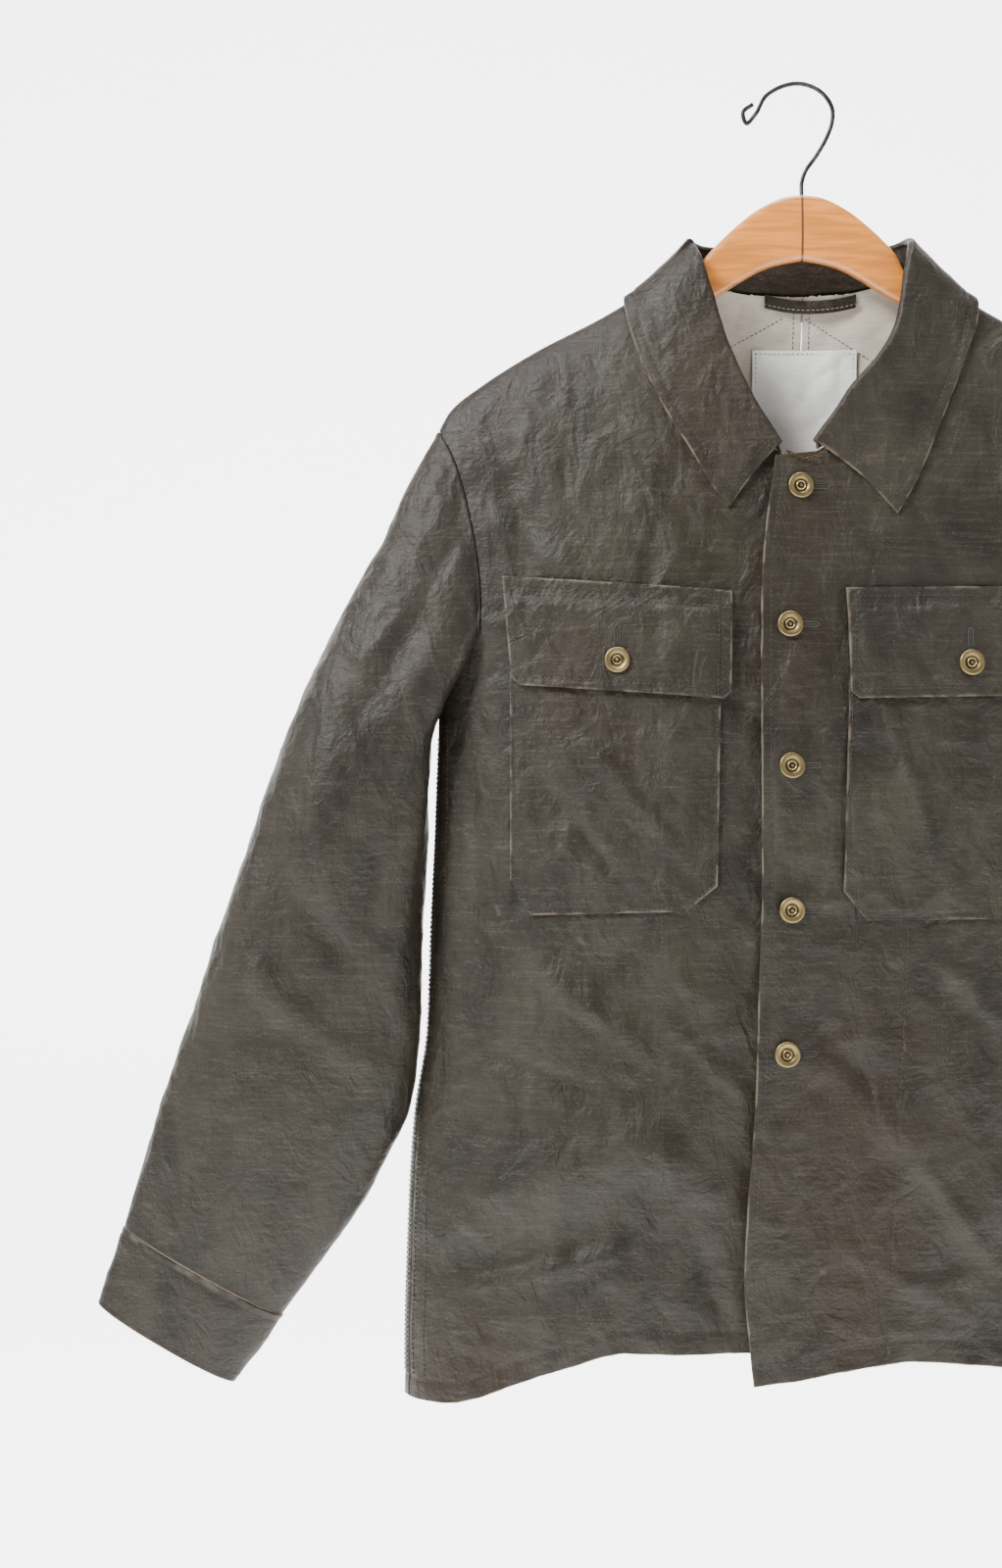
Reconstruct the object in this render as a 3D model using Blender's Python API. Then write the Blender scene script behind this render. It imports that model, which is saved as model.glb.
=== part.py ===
"""Military jacket of waxed canvas, buttoned once at the neck and hung on a wooden hanger.

Metres, +Z up, the front towards -Y. The origin is the highest point inside the hanger's
hook, where a nail or a rail carries it. "left" and "right" are the wearer's, so the left
half lies at +X. Every cloth piece is a thin closed wall on one shared body form.
"""

import math
from collections import namedtuple

import bmesh
import bpy
import numpy as np
from mathutils import Vector
from mathutils.bvhtree import BVHTree

# Cloth thickness and the clearances between pieces
WALL = 0.0018
DOUBLE_WALL = 0.0024
SEAM_GAP = 0.0003
LOOSE_GAP = 0.0006

# Body form: a flattened tube under the shoulder ridge
SECTION_POWER = 2.2
FRONT_DEPTH = 0.065
BACK_DEPTH = 0.050
FRONT_REACH = 0.32
BACK_REACH = 0.25
SIDE_SEAM_HEM = math.radians(80)
SIDE_SEAM_ARMPIT = math.radians(88)
SEAM_ANGLE = 0.003
CENTRE_BACK = 0.006

# Levels up a panel, from the hem at 0 to the shoulder seam at 1
ARMPIT = 0.70
CORNER = 0.80
NECK = 0.82
HEM_ROWS = 14
NECK_ROWS = 9
NECK_CROWDING = 2.2
FRONT_COLUMNS = 12
BACK_COLUMNS = 7
BACK_NECK_COLUMNS = 5
SLEEVE_ROWS = 14
CUFF_ROWS = 3
NECK_POINT = 0.078

# Closure and collar
LAP_LIFT = 0.0032
LAP_WIDTH = 0.06
UNDER_SINK = 0.006
UNDER_SINK_FROM = -0.095
ROLL_RADIUS = 0.003
COLLAR_GAP = 0.0020
SHOULDER_ROOM = 0.0015

# Buttons, loop and chain
BUTTON_SIDES = 16
SEAT_SPOTS = 16
LOOP_HEIGHT = 0.009
LOOP_THICKNESS = 0.0022
LOOP_SEAT = 0.0005
LOOP_SLACK = 0.003
LABEL_THICKNESS = 0.001
CHAIN_RADIUS = 0.0011
CHAIN_POINTS = 12

# Hanger
BAR_HALF = 0.0052
BAR_CLEARANCE = 0.0033
NECK_DIP = 0.0026
BAR_END = 0.215
BAR_CENTRE = 0.002
CROWN_END = 0.0715
CROWN_BLEND = (0.066, 0.0085)
NECK_DIP_AT = 0.075
NECK_DIP_WIDTH = 0.006
TIP_DROP = 0.006
TIP_LENGTH = 0.012
BAR_SIDES = 12
BAR_STATIONS = 29
HOOK_POINTS = 38
WIRE_RADIUS = 0.0015

Fold = namedtuple("Fold", "x0 z0 x1 z1 width height")
SleeveFold = namedtuple("SleeveFold", "turn0 level0 turn1 level1 width height")


def table(columns, *rows):
    """Named columns of numbers, one row for each station."""
    values = np.array(rows, float)
    return {name: values[:, i] for i, name in enumerate(columns.split())}


RIDGE = table(
    "x z",
    (0.000, -0.095),
    (0.030, -0.101),
    (0.050, -0.110),
    (0.070, -0.1225),
    (0.100, -0.1390),
    (0.139, -0.1620),
    (0.180, -0.1830),
    (0.220, -0.2080),
    (0.241, -0.2250),
    (0.249, -0.2390),
    (0.300, -0.3500),
)
SIDE = table(
    "z half",
    (-0.915, 0.2720),
    (-0.876, 0.2725),
    (-0.770, 0.2695),
    (-0.713, 0.2660),
    (-0.650, 0.2570),
    (-0.580, 0.2545),
    (-0.500, 0.2510),
    (-0.425, 0.2490),
    (-0.350, 0.2680),
    (-0.300, 0.2840),
    (-0.239, 0.3000),
)
LAP_EDGE = table(
    "z x",
    (-0.878, -0.0405),
    (-0.851, -0.0433),
    (-0.808, -0.0465),
    (-0.776, -0.0453),
    (-0.700, -0.0395),
    (-0.612, -0.0363),
    (-0.547, -0.0343),
    (-0.387, -0.0340),
    (-0.329, -0.0318),
    (-0.264, -0.0230),
)
UNDER_EDGE = table("z x", (-0.8585, 0.0060), (-0.2660, 0.0060))
# The neckline on each front, from the closure up to the shoulder
NECKLINE = table(
    "level right_x right_z left_x left_z",
    (0.820, -0.0165, -0.2605, 0.0045, -0.2610),
    (0.860, -0.0340, -0.2490, 0.0260, -0.2470),
    (0.890, -0.0510, -0.2310, 0.0460, -0.2280),
    (0.920, -0.0650, -0.2080, 0.0630, -0.2050),
    (0.950, -0.0755, -0.1810, 0.0755, -0.1790),
    (0.975, -0.0805, -0.1560, 0.0803, -0.1550),
    (1.000, -0.0780, -0.1268, 0.0780, -0.1268),
)
BACK_NECK = table(
    "x z",
    (0.000, -0.1405),
    (0.030, -0.1395),
    (0.055, -0.1355),
    (0.070, -0.1305),
    (0.078, -0.1268),
)
ARMHOLE = table(
    "level front_x front_z back_x back_z",
    (0.70, 0.2485, -0.425, 0.2485, -0.425),
    (0.72, 0.2400, -0.411, 0.2415, -0.411),
    (0.75, 0.2265, -0.392, 0.2310, -0.393),
    (0.78, 0.2190, -0.373, 0.2265, -0.374),
    (0.81, 0.2195, -0.352, 0.2252, -0.353),
    (0.85, 0.2225, -0.325, 0.2262, -0.327),
    (0.90, 0.2285, -0.294, 0.2310, -0.296),
    (0.95, 0.2365, -0.265, 0.2380, -0.266),
    (1.00, 0.2490, -0.239, 0.2490, -0.239),
)
HEM_RIGHT = table(
    "x z",
    (-0.273, -0.9030),
    (-0.240, -0.9000),
    (-0.220, -0.8937),
    (-0.200, -0.8846),
    (-0.161, -0.8700),
    (-0.123, -0.8590),
    (0.0100, -0.8585),
)
HEM_LEFT = table(
    "x z",
    (-0.0465, -0.8790),
    (-0.0080, -0.8740),
    (0.0300, -0.8670),
    (0.0690, -0.8628),
    (0.1070, -0.8660),
    (0.1600, -0.8730),
    (0.2200, -0.8900),
    (0.2730, -0.9030),
)
HEM_BACK = table("x z", (0.0, -0.8850), (0.15, -0.8880), (0.24, -0.8985), (0.273, -0.9030))
BACK_CENTRE = table("level z", (0.0, -0.8850), (0.70, -0.3850), (1.0, -0.1405))

# The collar's roll and outer edge over each front, then from the shoulder to the back
COLLAR_RIGHT = table(
    "level roll_x roll_z lift edge_x edge_z",
    (0.820, -0.0196, -0.2553, 0.001, -0.0543, -0.2985),
    (0.860, -0.0290, -0.2400, 0.001, -0.0680, -0.2775),
    (0.890, -0.0395, -0.2215, 0.001, -0.0800, -0.2570),
    (0.920, -0.0500, -0.1990, 0.001, -0.0935, -0.2350),
    (0.950, -0.0590, -0.1730, 0.002, -0.1065, -0.2080),
    (0.975, -0.0650, -0.1480, 0.005, -0.1155, -0.1830),
    (0.990, -0.0680, -0.1330, 0.009, -0.1190, -0.1680),
    (1.000, -0.0700, -0.1235, 0.011, -0.1205, -0.1560),
)
COLLAR_LEFT = table(
    "level roll_x roll_z lift edge_x edge_z",
    (0.820, 0.0037, -0.2560, 0.001, 0.0583, -0.3030),
    (0.860, 0.0180, -0.2360, 0.001, 0.0680, -0.2870),
    (0.890, 0.0325, -0.2160, 0.001, 0.0765, -0.2700),
    (0.920, 0.0485, -0.1980, 0.001, 0.0870, -0.2460),
    (0.950, 0.0620, -0.1730, 0.002, 0.1000, -0.2150),
    (0.975, 0.0665, -0.1480, 0.005, 0.1120, -0.1860),
    (0.990, 0.0685, -0.1330, 0.009, 0.1180, -0.1690),
    (1.000, 0.0700, -0.1235, 0.011, 0.1205, -0.1560),
)
COLLAR_BACK = table(
    "share seam_x roll_x roll_w lift edge_x edge_w",
    (0.00, 0.0780, 0.0700, -0.032, 0.011, 0.1205, -0.075),
    (0.14, 0.0765, 0.0693, -0.015, 0.0115, 0.1200, -0.040),
    (0.28, 0.0730, 0.0675, 0.005, 0.012, 0.1180, 0.000),
    (0.42, 0.0660, 0.0630, 0.035, 0.012, 0.1140, 0.045),
    (0.58, 0.0520, 0.0530, 0.070, 0.012, 0.1030, 0.105),
    (0.75, 0.0330, 0.0370, 0.102, 0.011, 0.0800, 0.170),
    (0.90, 0.0130, 0.0150, 0.125, 0.010, 0.0380, 0.232),
    (1.00, 0.0000, 0.0000, 0.130, 0.010, 0.0000, 0.250),
)
STAND_STEPS = (0.0, 0.5)
ROLL_TURNS = (0.0, 60.0, 120.0, 180.0)
FALL_STEPS = (0.14, 0.32, 0.55, 0.78, 1.0)

# The sleeve's outer and inner edges seen from the front, from the armhole to the cuff
SLEEVE = table(
    "level outer_x outer_z inner_x inner_z half y",
    (0.00, 0.2495, -0.239, 0.2500, -0.426, 0.030, -0.002),
    (0.08, 0.2630, -0.263, 0.2535, -0.443, 0.034, -0.003),
    (0.20, 0.2890, -0.318, 0.2560, -0.474, 0.038, -0.004),
    (0.34, 0.3260, -0.388, 0.2570, -0.518, 0.040, -0.005),
    (0.48, 0.3580, -0.463, 0.2590, -0.570, 0.039, -0.006),
    (0.62, 0.3880, -0.550, 0.2610, -0.632, 0.036, -0.007),
    (0.76, 0.4180, -0.640, 0.2680, -0.700, 0.031, -0.008),
    (0.88, 0.4400, -0.707, 0.2940, -0.757, 0.025, -0.009),
    (1.00, 0.4640, -0.785, 0.3555, -0.846, 0.017, -0.010),
)
SLEEVE_POWER = 2.3
SLEEVE_LENGTH = 0.56
SLEEVE_ARC = 0.055
# How far down the sleeve the armhole's own shape reaches, at the shoulder and under the arm
CAP_REACH = 0.45
PIT_REACH = 0.11
# How far the sleeve is eased away from the panels there, over a share of the way round
PIT_SHARE = 0.38
PIT_ROOM = 0.010
PIT_EASE = 0.0038
CUFF = table(
    "level outer_x outer_z inner_x inner_z half y",
    (0.0, 0.4645, -0.7860, 0.3552, -0.8468, 0.0176, -0.010),
    (0.5, 0.4735, -0.8120, 0.3715, -0.8700, 0.0165, -0.010),
    (1.0, 0.4820, -0.8385, 0.3890, -0.8925, 0.0155, -0.010),
)

FRONT_FOLDS = (
    Fold(-0.091, -0.300, -0.042, -0.352, 0.010, -0.0030),
    Fold(-0.204, -0.262, -0.186, -0.335, 0.011, -0.0035),
    Fold(-0.100, -0.600, -0.049, -0.645, 0.016, 0.0035),
    Fold(-0.100, -0.715, -0.245, -0.775, 0.022, 0.0055),
    Fold(-0.110, -0.765, -0.250, -0.815, 0.020, -0.0045),
    Fold(-0.130, -0.710, -0.046, -0.765, 0.018, 0.0040),
    Fold(-0.235, -0.440, -0.222, -0.640, 0.014, -0.0040),
    Fold(0.083, -0.570, 0.110, -0.660, 0.018, -0.0040),
    Fold(0.040, -0.690, 0.095, -0.745, 0.018, 0.0045),
    Fold(0.015, -0.600, 0.035, -0.700, 0.016, -0.0030),
    Fold(0.110, -0.740, 0.240, -0.800, 0.022, 0.0055),
    Fold(0.130, -0.650, 0.225, -0.735, 0.020, -0.0045),
    Fold(0.204, -0.262, 0.186, -0.335, 0.011, -0.0035),
    Fold(0.235, -0.440, 0.224, -0.620, 0.014, -0.0040),
)
BACK_FOLDS = (
    Fold(-0.200, -0.270, -0.120, -0.400, 0.020, -0.0045),
    Fold(0.195, -0.265, 0.110, -0.380, 0.020, -0.0045),
    Fold(-0.070, -0.400, -0.110, -0.800, 0.028, 0.0060),
    Fold(0.060, -0.450, 0.105, -0.820, 0.028, 0.0060),
    Fold(-0.225, -0.470, -0.150, -0.640, 0.022, -0.0050),
    Fold(0.225, -0.480, 0.160, -0.680, 0.022, -0.0050),
    Fold(-0.220, -0.700, -0.150, -0.850, 0.022, 0.0045),
    Fold(0.215, -0.720, 0.170, -0.860, 0.022, 0.0045),
)
SLEEVE_FOLDS = (
    SleeveFold(60, 0.06, 85, 0.42, 0.012, -0.0040),
    SleeveFold(100, 0.10, 62, 0.58, 0.014, 0.0040),
    SleeveFold(118, 0.40, 75, 0.84, 0.013, -0.0040),
    SleeveFold(150, 0.16, 128, 0.66, 0.013, 0.0050),
    SleeveFold(30, 0.56, 110, 0.63, 0.011, -0.0035),
    SleeveFold(45, 0.68, 135, 0.74, 0.012, 0.0030),
    SleeveFold(300, 0.08, 275, 0.50, 0.014, -0.0045),
    SleeveFold(255, 0.20, 290, 0.66, 0.014, 0.0045),
    SleeveFold(235, 0.50, 300, 0.60, 0.012, -0.0035),
    SleeveFold(240, 0.64, 285, 0.90, 0.013, 0.0035),
)

# Outlines seen from the front, clockwise from the top left
POCKETS = {
    "right": ((-0.2000, -0.372), (-0.0590, -0.372), (-0.0630, -0.5505), (-0.0840, -0.5670),
              (-0.1860, -0.5706), (-0.2000, -0.5507)),
    "left": ((0.0258, -0.372), (0.1740, -0.372), (0.1740, -0.5520), (0.1580, -0.5720),
             (0.0348, -0.5730), (0.0194, -0.5540)),
}
FLAPS = {
    "right": ((-0.2054, -0.3426), (-0.0521, -0.3542), (-0.0536, -0.4219), (-0.0585, -0.4263),
              (-0.1940, -0.4166), (-0.1995, -0.4108)),
    "left": ((0.0226, -0.3527), (0.1850, -0.3500), (0.1830, -0.4190), (0.1780, -0.4235),
             (0.0300, -0.4265), (0.0245, -0.4220)),
}
FLAP_SEAM_DEPTH = 0.008
FLAP_RAMP_END = 0.018

FRONT_BUTTONS = table(
    "x z",
    (-0.0067, -0.2843),
    (-0.0147, -0.3771),
    (-0.0145, -0.4708),
    (-0.0151, -0.5658),
    (-0.0185, -0.6603),
)
POCKET_BUTTONS = {"right": (-0.1288, -0.4007), "left": (0.1050, -0.4026)}
BUTTON_PROFILE = table(
    "radius height",
    (0.0072, 0.0000),
    (0.0086, 0.0012),
    (0.0079, 0.0028),
    (0.0046, 0.0020),
    (0.0035, 0.0028),
    (0.0019, 0.0017),
)
BUTTON_NUB = 0.0022

LABEL = {"x": (-0.0288, 0.0449), "z": (-0.268, -0.177), "steps": (6, 6)}
LOOP_X = (-0.0210, 0.0430)
LOOP_Z = -0.1440
LOOP_SAG = 0.0045
CHAIN = table(
    "x z out",
    (-0.0150, -0.2615, 0.0015),
    (-0.0090, -0.2650, 0.0015),
    (-0.0020, -0.2665, 0.0022),
    (0.0040, -0.2655, 0.0060),
    (0.0085, -0.2625, 0.0100),
)

CROWN = table(
    "x z",
    (0.0000, -0.0756),
    (0.0105, -0.0768),
    (0.0190, -0.0797),
    (0.0320, -0.0868),
    (0.0490, -0.1005),
    (0.0635, -0.1150),
    (0.0715, -0.1240),
)
BAR_UNDER = table(
    "x z",
    (0.000, -0.1210),
    (0.020, -0.1250),
    (0.070, -0.1525),
    (0.120, -0.1755),
    (0.170, -0.2000),
    (0.200, -0.2160),
    (0.215, -0.2205),
)
HOOK = table(
    "x z",
    (-0.0318, -0.0125),
    (-0.0385, -0.0180),
    (-0.0362, -0.0258),
    (-0.0300, -0.0195),
    (-0.0229, -0.0070),
    (-0.0134, -0.0009),
    (-0.0010, 0.0018),
    (0.0092, -0.0004),
    (0.0184, -0.0070),
    (0.0232, -0.0158),
    (0.0232, -0.0240),
    (0.0198, -0.0345),
    (0.0116, -0.0491),
    (0.0042, -0.0599),
    (0.0020, -0.0674),
    (0.0020, -0.0752),
)

FINISHES = {
    "canvas": ((0.085, 0.078, 0.066), 0.55, 0.0),
    "brass": ((0.42, 0.36, 0.22), 0.38, 1.0),
    "label": ((0.80, 0.79, 0.76), 0.85, 0.0),
    "steel": ((0.06, 0.06, 0.065), 0.40, 1.0),
    "wood": ((0.55, 0.26, 0.07), 0.35, 0.0),
}


def smooth(at, knots, values):
    """Cubic curve through a table's values that never swings past them."""
    at = np.clip(np.asarray(at, float), knots[0], knots[-1])
    step = np.diff(knots)
    rise = np.diff(values) / step
    both = rise[:-1] + rise[1:]
    product = rise[:-1] * rise[1:]
    slope = np.empty(len(knots))
    slope[0], slope[-1] = rise[0], rise[-1]
    slope[1:-1] = np.where(product > 0, 2 * product / np.where(both == 0, 1, both), 0)
    i = np.clip(np.searchsorted(knots, at, side="right") - 1, 0, len(step) - 1)
    t = (at - knots[i]) / step[i]
    start = (1 + 2 * t) * (1 - t) ** 2 * values[i] + t * (1 - t) ** 2 * step[i] * slope[i]
    end = t * t * (3 - 2 * t) * values[i + 1] - t * t * (1 - t) * step[i] * slope[i + 1]
    return start + end


def ease(value):
    """0 to 1 with level ends."""
    t = np.clip(value, 0, 1)
    return t * t * (3 - 2 * t)


def unit(vectors):
    return vectors / np.maximum(np.linalg.norm(vectors, axis=-1, keepdims=True), 1e-12)


# Body form


def ridge(x):
    """Height of the shoulder line."""
    return smooth(np.abs(x), RIDGE["x"], RIDGE["z"])


def half_width(z):
    return smooth(z, SIDE["z"], SIDE["half"])


def depth(drop, front):
    """How far the cloth stands out at a drop below the shoulder line."""
    most = np.where(front, FRONT_DEPTH, BACK_DEPTH)
    reach = np.where(front, FRONT_REACH, BACK_REACH)
    return most * np.sqrt(1 - np.exp(-np.maximum(drop, 0) / reach))


def bare(angle, z):
    """Point of the plain form at an angle round from the centre front."""
    sine = np.abs(np.sin(angle)) ** (2 / SECTION_POWER)
    cosine = np.abs(np.cos(angle)) ** (2 / SECTION_POWER)
    x = np.sign(np.sin(angle)) * half_width(z) * sine
    front = np.cos(angle) > 0
    y = np.where(front, -1, 1) * depth(ridge(x) - z, front) * cosine
    return np.stack(np.broadcast_arrays(x, y, z), -1)


def angle_at(x, z, front=True):
    share = np.clip(np.abs(x) / half_width(z), 0, 1) ** (SECTION_POWER / 2)
    angle = np.arcsin(share)
    return np.sign(x) * (angle if front else math.pi - angle)


def outward(form, angle, z):
    """Unit normal of a form, away from the inside of the jacket."""
    turn, rise = 1e-4, 1e-5
    z = np.minimum(z, ridge(bare(angle, z)[..., 0]) - 5e-4)
    across = form(angle + turn, z) - form(angle - turn, z)
    along = form(angle, z + rise) - form(angle, z - rise)
    return unit(np.cross(across, along))


def fold_height(x, z, folds):
    """Soft ridges and troughs along straight lines, dying away at their ends."""
    total = np.zeros(np.broadcast(x, z).shape)
    for fold in folds:
        run_x, run_z = fold.x1 - fold.x0, fold.z1 - fold.z0
        length = math.hypot(run_x, run_z)
        share = ((x - fold.x0) * run_x + (z - fold.z0) * run_z) / length**2
        off = ((x - fold.x0) * run_z - (z - fold.z0) * run_x) / length
        fade = np.exp(-((np.abs(share - 0.5) / 0.5) ** 3))
        total += fold.height * np.exp(-((off / fold.width) ** 2)) * fade
    return total


def lap_edge(z):
    return smooth(z, LAP_EDGE["z"], LAP_EDGE["x"])


def height(angle, z, layer):
    """How far the cloth lies proud of the plain form."""
    x, _, _ = np.moveaxis(bare(angle, z), -1, 0)
    front = np.cos(angle) > 0
    folds = np.where(front, fold_height(x, z, FRONT_FOLDS), fold_height(x, z, BACK_FOLDS))
    total = folds * ease(np.abs(np.cos(angle)) / 0.5) * ease((ridge(x) - z) / 0.05)
    if layer == "top":
        total = total + LAP_LIFT * (1 - ease((x - lap_edge(z)) / LAP_WIDTH))
    if layer == "under":
        total = total - UNDER_SINK * ease((x - UNDER_SINK_FROM) / LAP_WIDTH)
    return total


def cloth(angle, z, layer):
    """Point of the cloth's outside."""
    lift = height(angle, z, layer)
    return bare(angle, z) + outward(bare, angle, z) * lift[..., None]


def layer_of(side):
    return "top" if side > 0 else "under"


# Panels


def spacing(share):
    """Columns a little closer together towards the side."""
    return 0.35 * share + 0.65 * np.arcsin(0.95 * share) / math.asin(0.95)


def levels():
    """Rows up a panel, crowded at the shoulder where the cloth turns over the hanger."""
    hem = np.linspace(0, ARMPIT, HEM_ROWS + 1)
    arm = np.array([0.735, 0.77, CORNER])
    left = np.arange(NECK_ROWS + 1) / NECK_ROWS
    neck = 1 - (1 - NECK) * (1 - left) ** NECK_CROWDING
    return np.concatenate([hem, arm, neck])


def front_inner(side, level):
    """The closure edge and the neckline in the front view."""
    edge = LAP_EDGE if side > 0 else UNDER_EDGE
    name = "left" if side > 0 else "right"
    z = edge["z"][0] + (edge["z"][-1] - edge["z"][0]) * np.clip(level / CORNER, 0, 1)
    x = smooth(z, edge["z"], edge["x"])
    above = level > CORNER + 1e-6
    neck_x = smooth(level, NECKLINE["level"], NECKLINE[name + "_x"])
    neck_z = smooth(level, NECKLINE["level"], NECKLINE[name + "_z"])
    return np.where(above, neck_x, x), np.where(above, neck_z, z)


def outer_edge(side, level, face, hem_z):
    """The side seam and the armhole: their angles and heights."""
    arm_x = smooth(level, ARMHOLE["level"], ARMHOLE[face + "_x"])
    arm_z = smooth(level, ARMHOLE["level"], ARMHOLE[face + "_z"])
    below = np.clip(level / ARMPIT, 0, 1)
    z = np.where(level > ARMPIT, arm_z, hem_z + (ARMHOLE["front_z"][0] - hem_z) * below)
    seam = SIDE_SEAM_HEM + (SIDE_SEAM_ARMPIT - SIDE_SEAM_HEM) * below**2
    seam = seam + (SEAM_ANGLE if face == "back" else -SEAM_ANGLE)
    arm = np.abs(angle_at(arm_x, arm_z, face == "front"))
    return side * np.where(level > ARMPIT, arm, seam), z


def settle(angle, z_line, level, top, hem):
    """Bends the straight rows so that the last ones follow the shoulder and the hem."""
    x = bare(angle, z_line)[..., 0]
    z = z_line + (top(x[-1:]) - z_line[-1:]) * level**5
    return z + (hem(x[:1]) - z_line[:1]) * (1 - level) ** 3


def wall_grids(angle, z, layer, seam_columns, y_side):
    """Outside and inside points of a panel, its shoulder edge square to the seam."""
    outer = cloth(angle, z, layer)
    normal = outward(lambda a, h: cloth(a, h, layer), angle, z)
    top = outer[-1, seam_columns]
    slope = np.gradient(ridge(top[:, 0]), np.abs(top[:, 0]))
    level_normal = np.stack([-np.sign(top[:, 0]) * slope, 0 * slope, 0 * slope + 1], -1)
    normal[-1, seam_columns] = unit(level_normal)
    outer[-1, seam_columns, 1] = y_side * SEAM_GAP / 2
    return outer, outer - normal * WALL


def front_grids(side):
    level = levels()[:, None]
    share = spacing(np.linspace(0, 1, FRONT_COLUMNS + 1))[None, :]
    hem = HEM_LEFT if side > 0 else HEM_RIGHT
    hem_end = hem["z"][-1 if side > 0 else 0]
    x_in, z_in = front_inner(side, level)
    angle_in = angle_at(x_in, z_in)
    angle_out, z_out = outer_edge(side, level, "front", hem_end)
    angle = angle_in + (angle_out - angle_in) * share
    z_line = z_in + (z_out - z_in) * share
    z = settle(angle, z_line, level, ridge, lambda x: smooth(x, hem["x"], hem["z"]))
    return wall_grids(angle, z, layer_of(side), slice(None), -1)


def back_top(x):
    """The back's upper edge: the neck, then the shoulder."""
    neck = smooth(np.abs(x), BACK_NECK["x"], BACK_NECK["z"])
    return np.where(np.abs(x) < NECK_POINT - 1e-5, neck, ridge(x))


def back_grids(side):
    level = levels()[:, None]
    z_in = smooth(level, BACK_CENTRE["level"], BACK_CENTRE["z"])
    angle_out, z_out = outer_edge(side, level, "back", HEM_BACK["z"][-1])
    turn_in = side * angle_at(CENTRE_BACK + side * SEAM_GAP / 2, z_in)
    turn_out = math.pi - np.abs(angle_out)
    near = np.linspace(0, 1, BACK_NECK_COLUMNS + 1)[None, :]
    far = spacing(np.linspace(0, 1, BACK_COLUMNS + 1))[None, 1:]
    corner = angle_at(NECK_POINT, BACK_NECK["z"][-1])
    neck_share = (corner - turn_in[-1]) / (turn_out[-1] - turn_in[-1])
    neck_turn = turn_in + (turn_out - turn_in) * neck_share
    turn = np.concatenate(
        [turn_in + (neck_turn - turn_in) * near, neck_turn + (turn_out - neck_turn) * far], 1
    )
    share = (turn - turn_in) / (turn_out - turn_in)
    angle = side * (math.pi - turn)
    z_line = z_in + (z_out - z_in) * share
    z = settle(angle, z_line, level, back_top, lambda x: smooth(np.abs(x), HEM_BACK["x"], HEM_BACK["z"]))
    return wall_grids(angle, z, "back", slice(BACK_NECK_COLUMNS, None), 1)


# Sleeves


def edge_run(grid, rows):
    """The outermost column of a panel's rows, and the way the panel runs there."""
    edge = grid[rows, -1]
    return edge, unit(edge - grid[rows, -2])


def armhole_ring(side, front, back):
    """Outside and inside points round the armhole, and the way its panels run there."""
    rows = np.arange(len(front[0]) - 1, HEM_ROWS - 1, -1)
    ring, inner, runs = [], [], []
    for panel, order in ((front, rows), (back, rows[::-1])):
        edge, run = edge_run(panel[0], order)
        inside, _ = edge_run(panel[1], order)
        ring.append(edge + run * SEAM_GAP)
        inner.append(inside + run * SEAM_GAP)
        runs.append(run)
    tip = (ring[0][0] + ring[1][-1]) / 2
    tip_in = (inner[0][0] + inner[1][-1]) / 2
    sideways = np.array([side, 0.0, 0.0])
    pit = (ring[0][-1] + ring[1][0]) / 2 + sideways * (SEAM_GAP + WALL * 0.2)
    outer = np.concatenate([[tip], ring[0][1:-1], [pit], ring[1][1:-1]])
    inside = np.concatenate([[tip_in], inner[0][1:-1], [pit], inner[1][1:-1]])
    away = np.concatenate([[sideways], runs[0][1:-1], [sideways], runs[1][1:-1]])
    return outer, inside, away


def sleeve_turns(ring):
    """Angles round the sleeve in step with the armhole's points, 180 at the armpit."""
    half = len(ring) // 2
    step = np.linalg.norm(np.diff(np.vstack([ring, ring[:1]]), axis=0), axis=1)
    front = np.concatenate([[0], np.cumsum(step[:half])])
    back = np.concatenate([[0], np.cumsum(step[half:])])
    return np.concatenate([front[:-1] / front[-1], 1 + back[:-1] / back[-1]]) * math.pi


def tube_point(side, sections, level, turns):
    """Flattened rings between the outer and inner edges of a table of sections."""
    column = {name: smooth(level, sections["level"], sections[name])[:, None] for name in sections}
    cosine = np.sign(np.cos(turns)) * np.abs(np.cos(turns)) ** (2 / SLEEVE_POWER)
    sine = np.sign(np.sin(turns)) * np.abs(np.sin(turns)) ** (2 / SLEEVE_POWER)
    x = (column["outer_x"] * (1 + cosine) + column["inner_x"] * (1 - cosine)) / 2
    z = (column["outer_z"] * (1 + cosine) + column["inner_z"] * (1 - cosine)) / 2
    y = column["y"] - column["half"] * sine
    return np.stack([side * x, y, z], -1)


def tube_normals(side, grid):
    across = np.roll(grid, -1, 1) - np.roll(grid, 1, 1)
    along = np.gradient(grid, axis=0)
    return unit(side * np.cross(across, along))


def sleeve_fold_height(turns, level):
    """Lengthwise drag folds, measured round and down the sleeve in metres."""
    total = np.zeros(np.broadcast(turns, level).shape)
    for fold in SLEEVE_FOLDS:
        start = np.array([math.radians(fold.turn0) * SLEEVE_ARC, fold.level0 * SLEEVE_LENGTH])
        end = np.array([math.radians(fold.turn1) * SLEEVE_ARC, fold.level1 * SLEEVE_LENGTH])
        run = end - start
        length = np.linalg.norm(run)
        arc = turns * SLEEVE_ARC - start[0]
        down = level * SLEEVE_LENGTH - start[1]
        share = (arc * run[0] + down * run[1]) / length**2
        off = (arc * run[1] - down * run[0]) / length
        fade = np.exp(-((np.abs(share - 0.5) / 0.5) ** 3))
        total += fold.height * np.exp(-((off / fold.width) ** 2)) * fade
    return total


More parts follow.
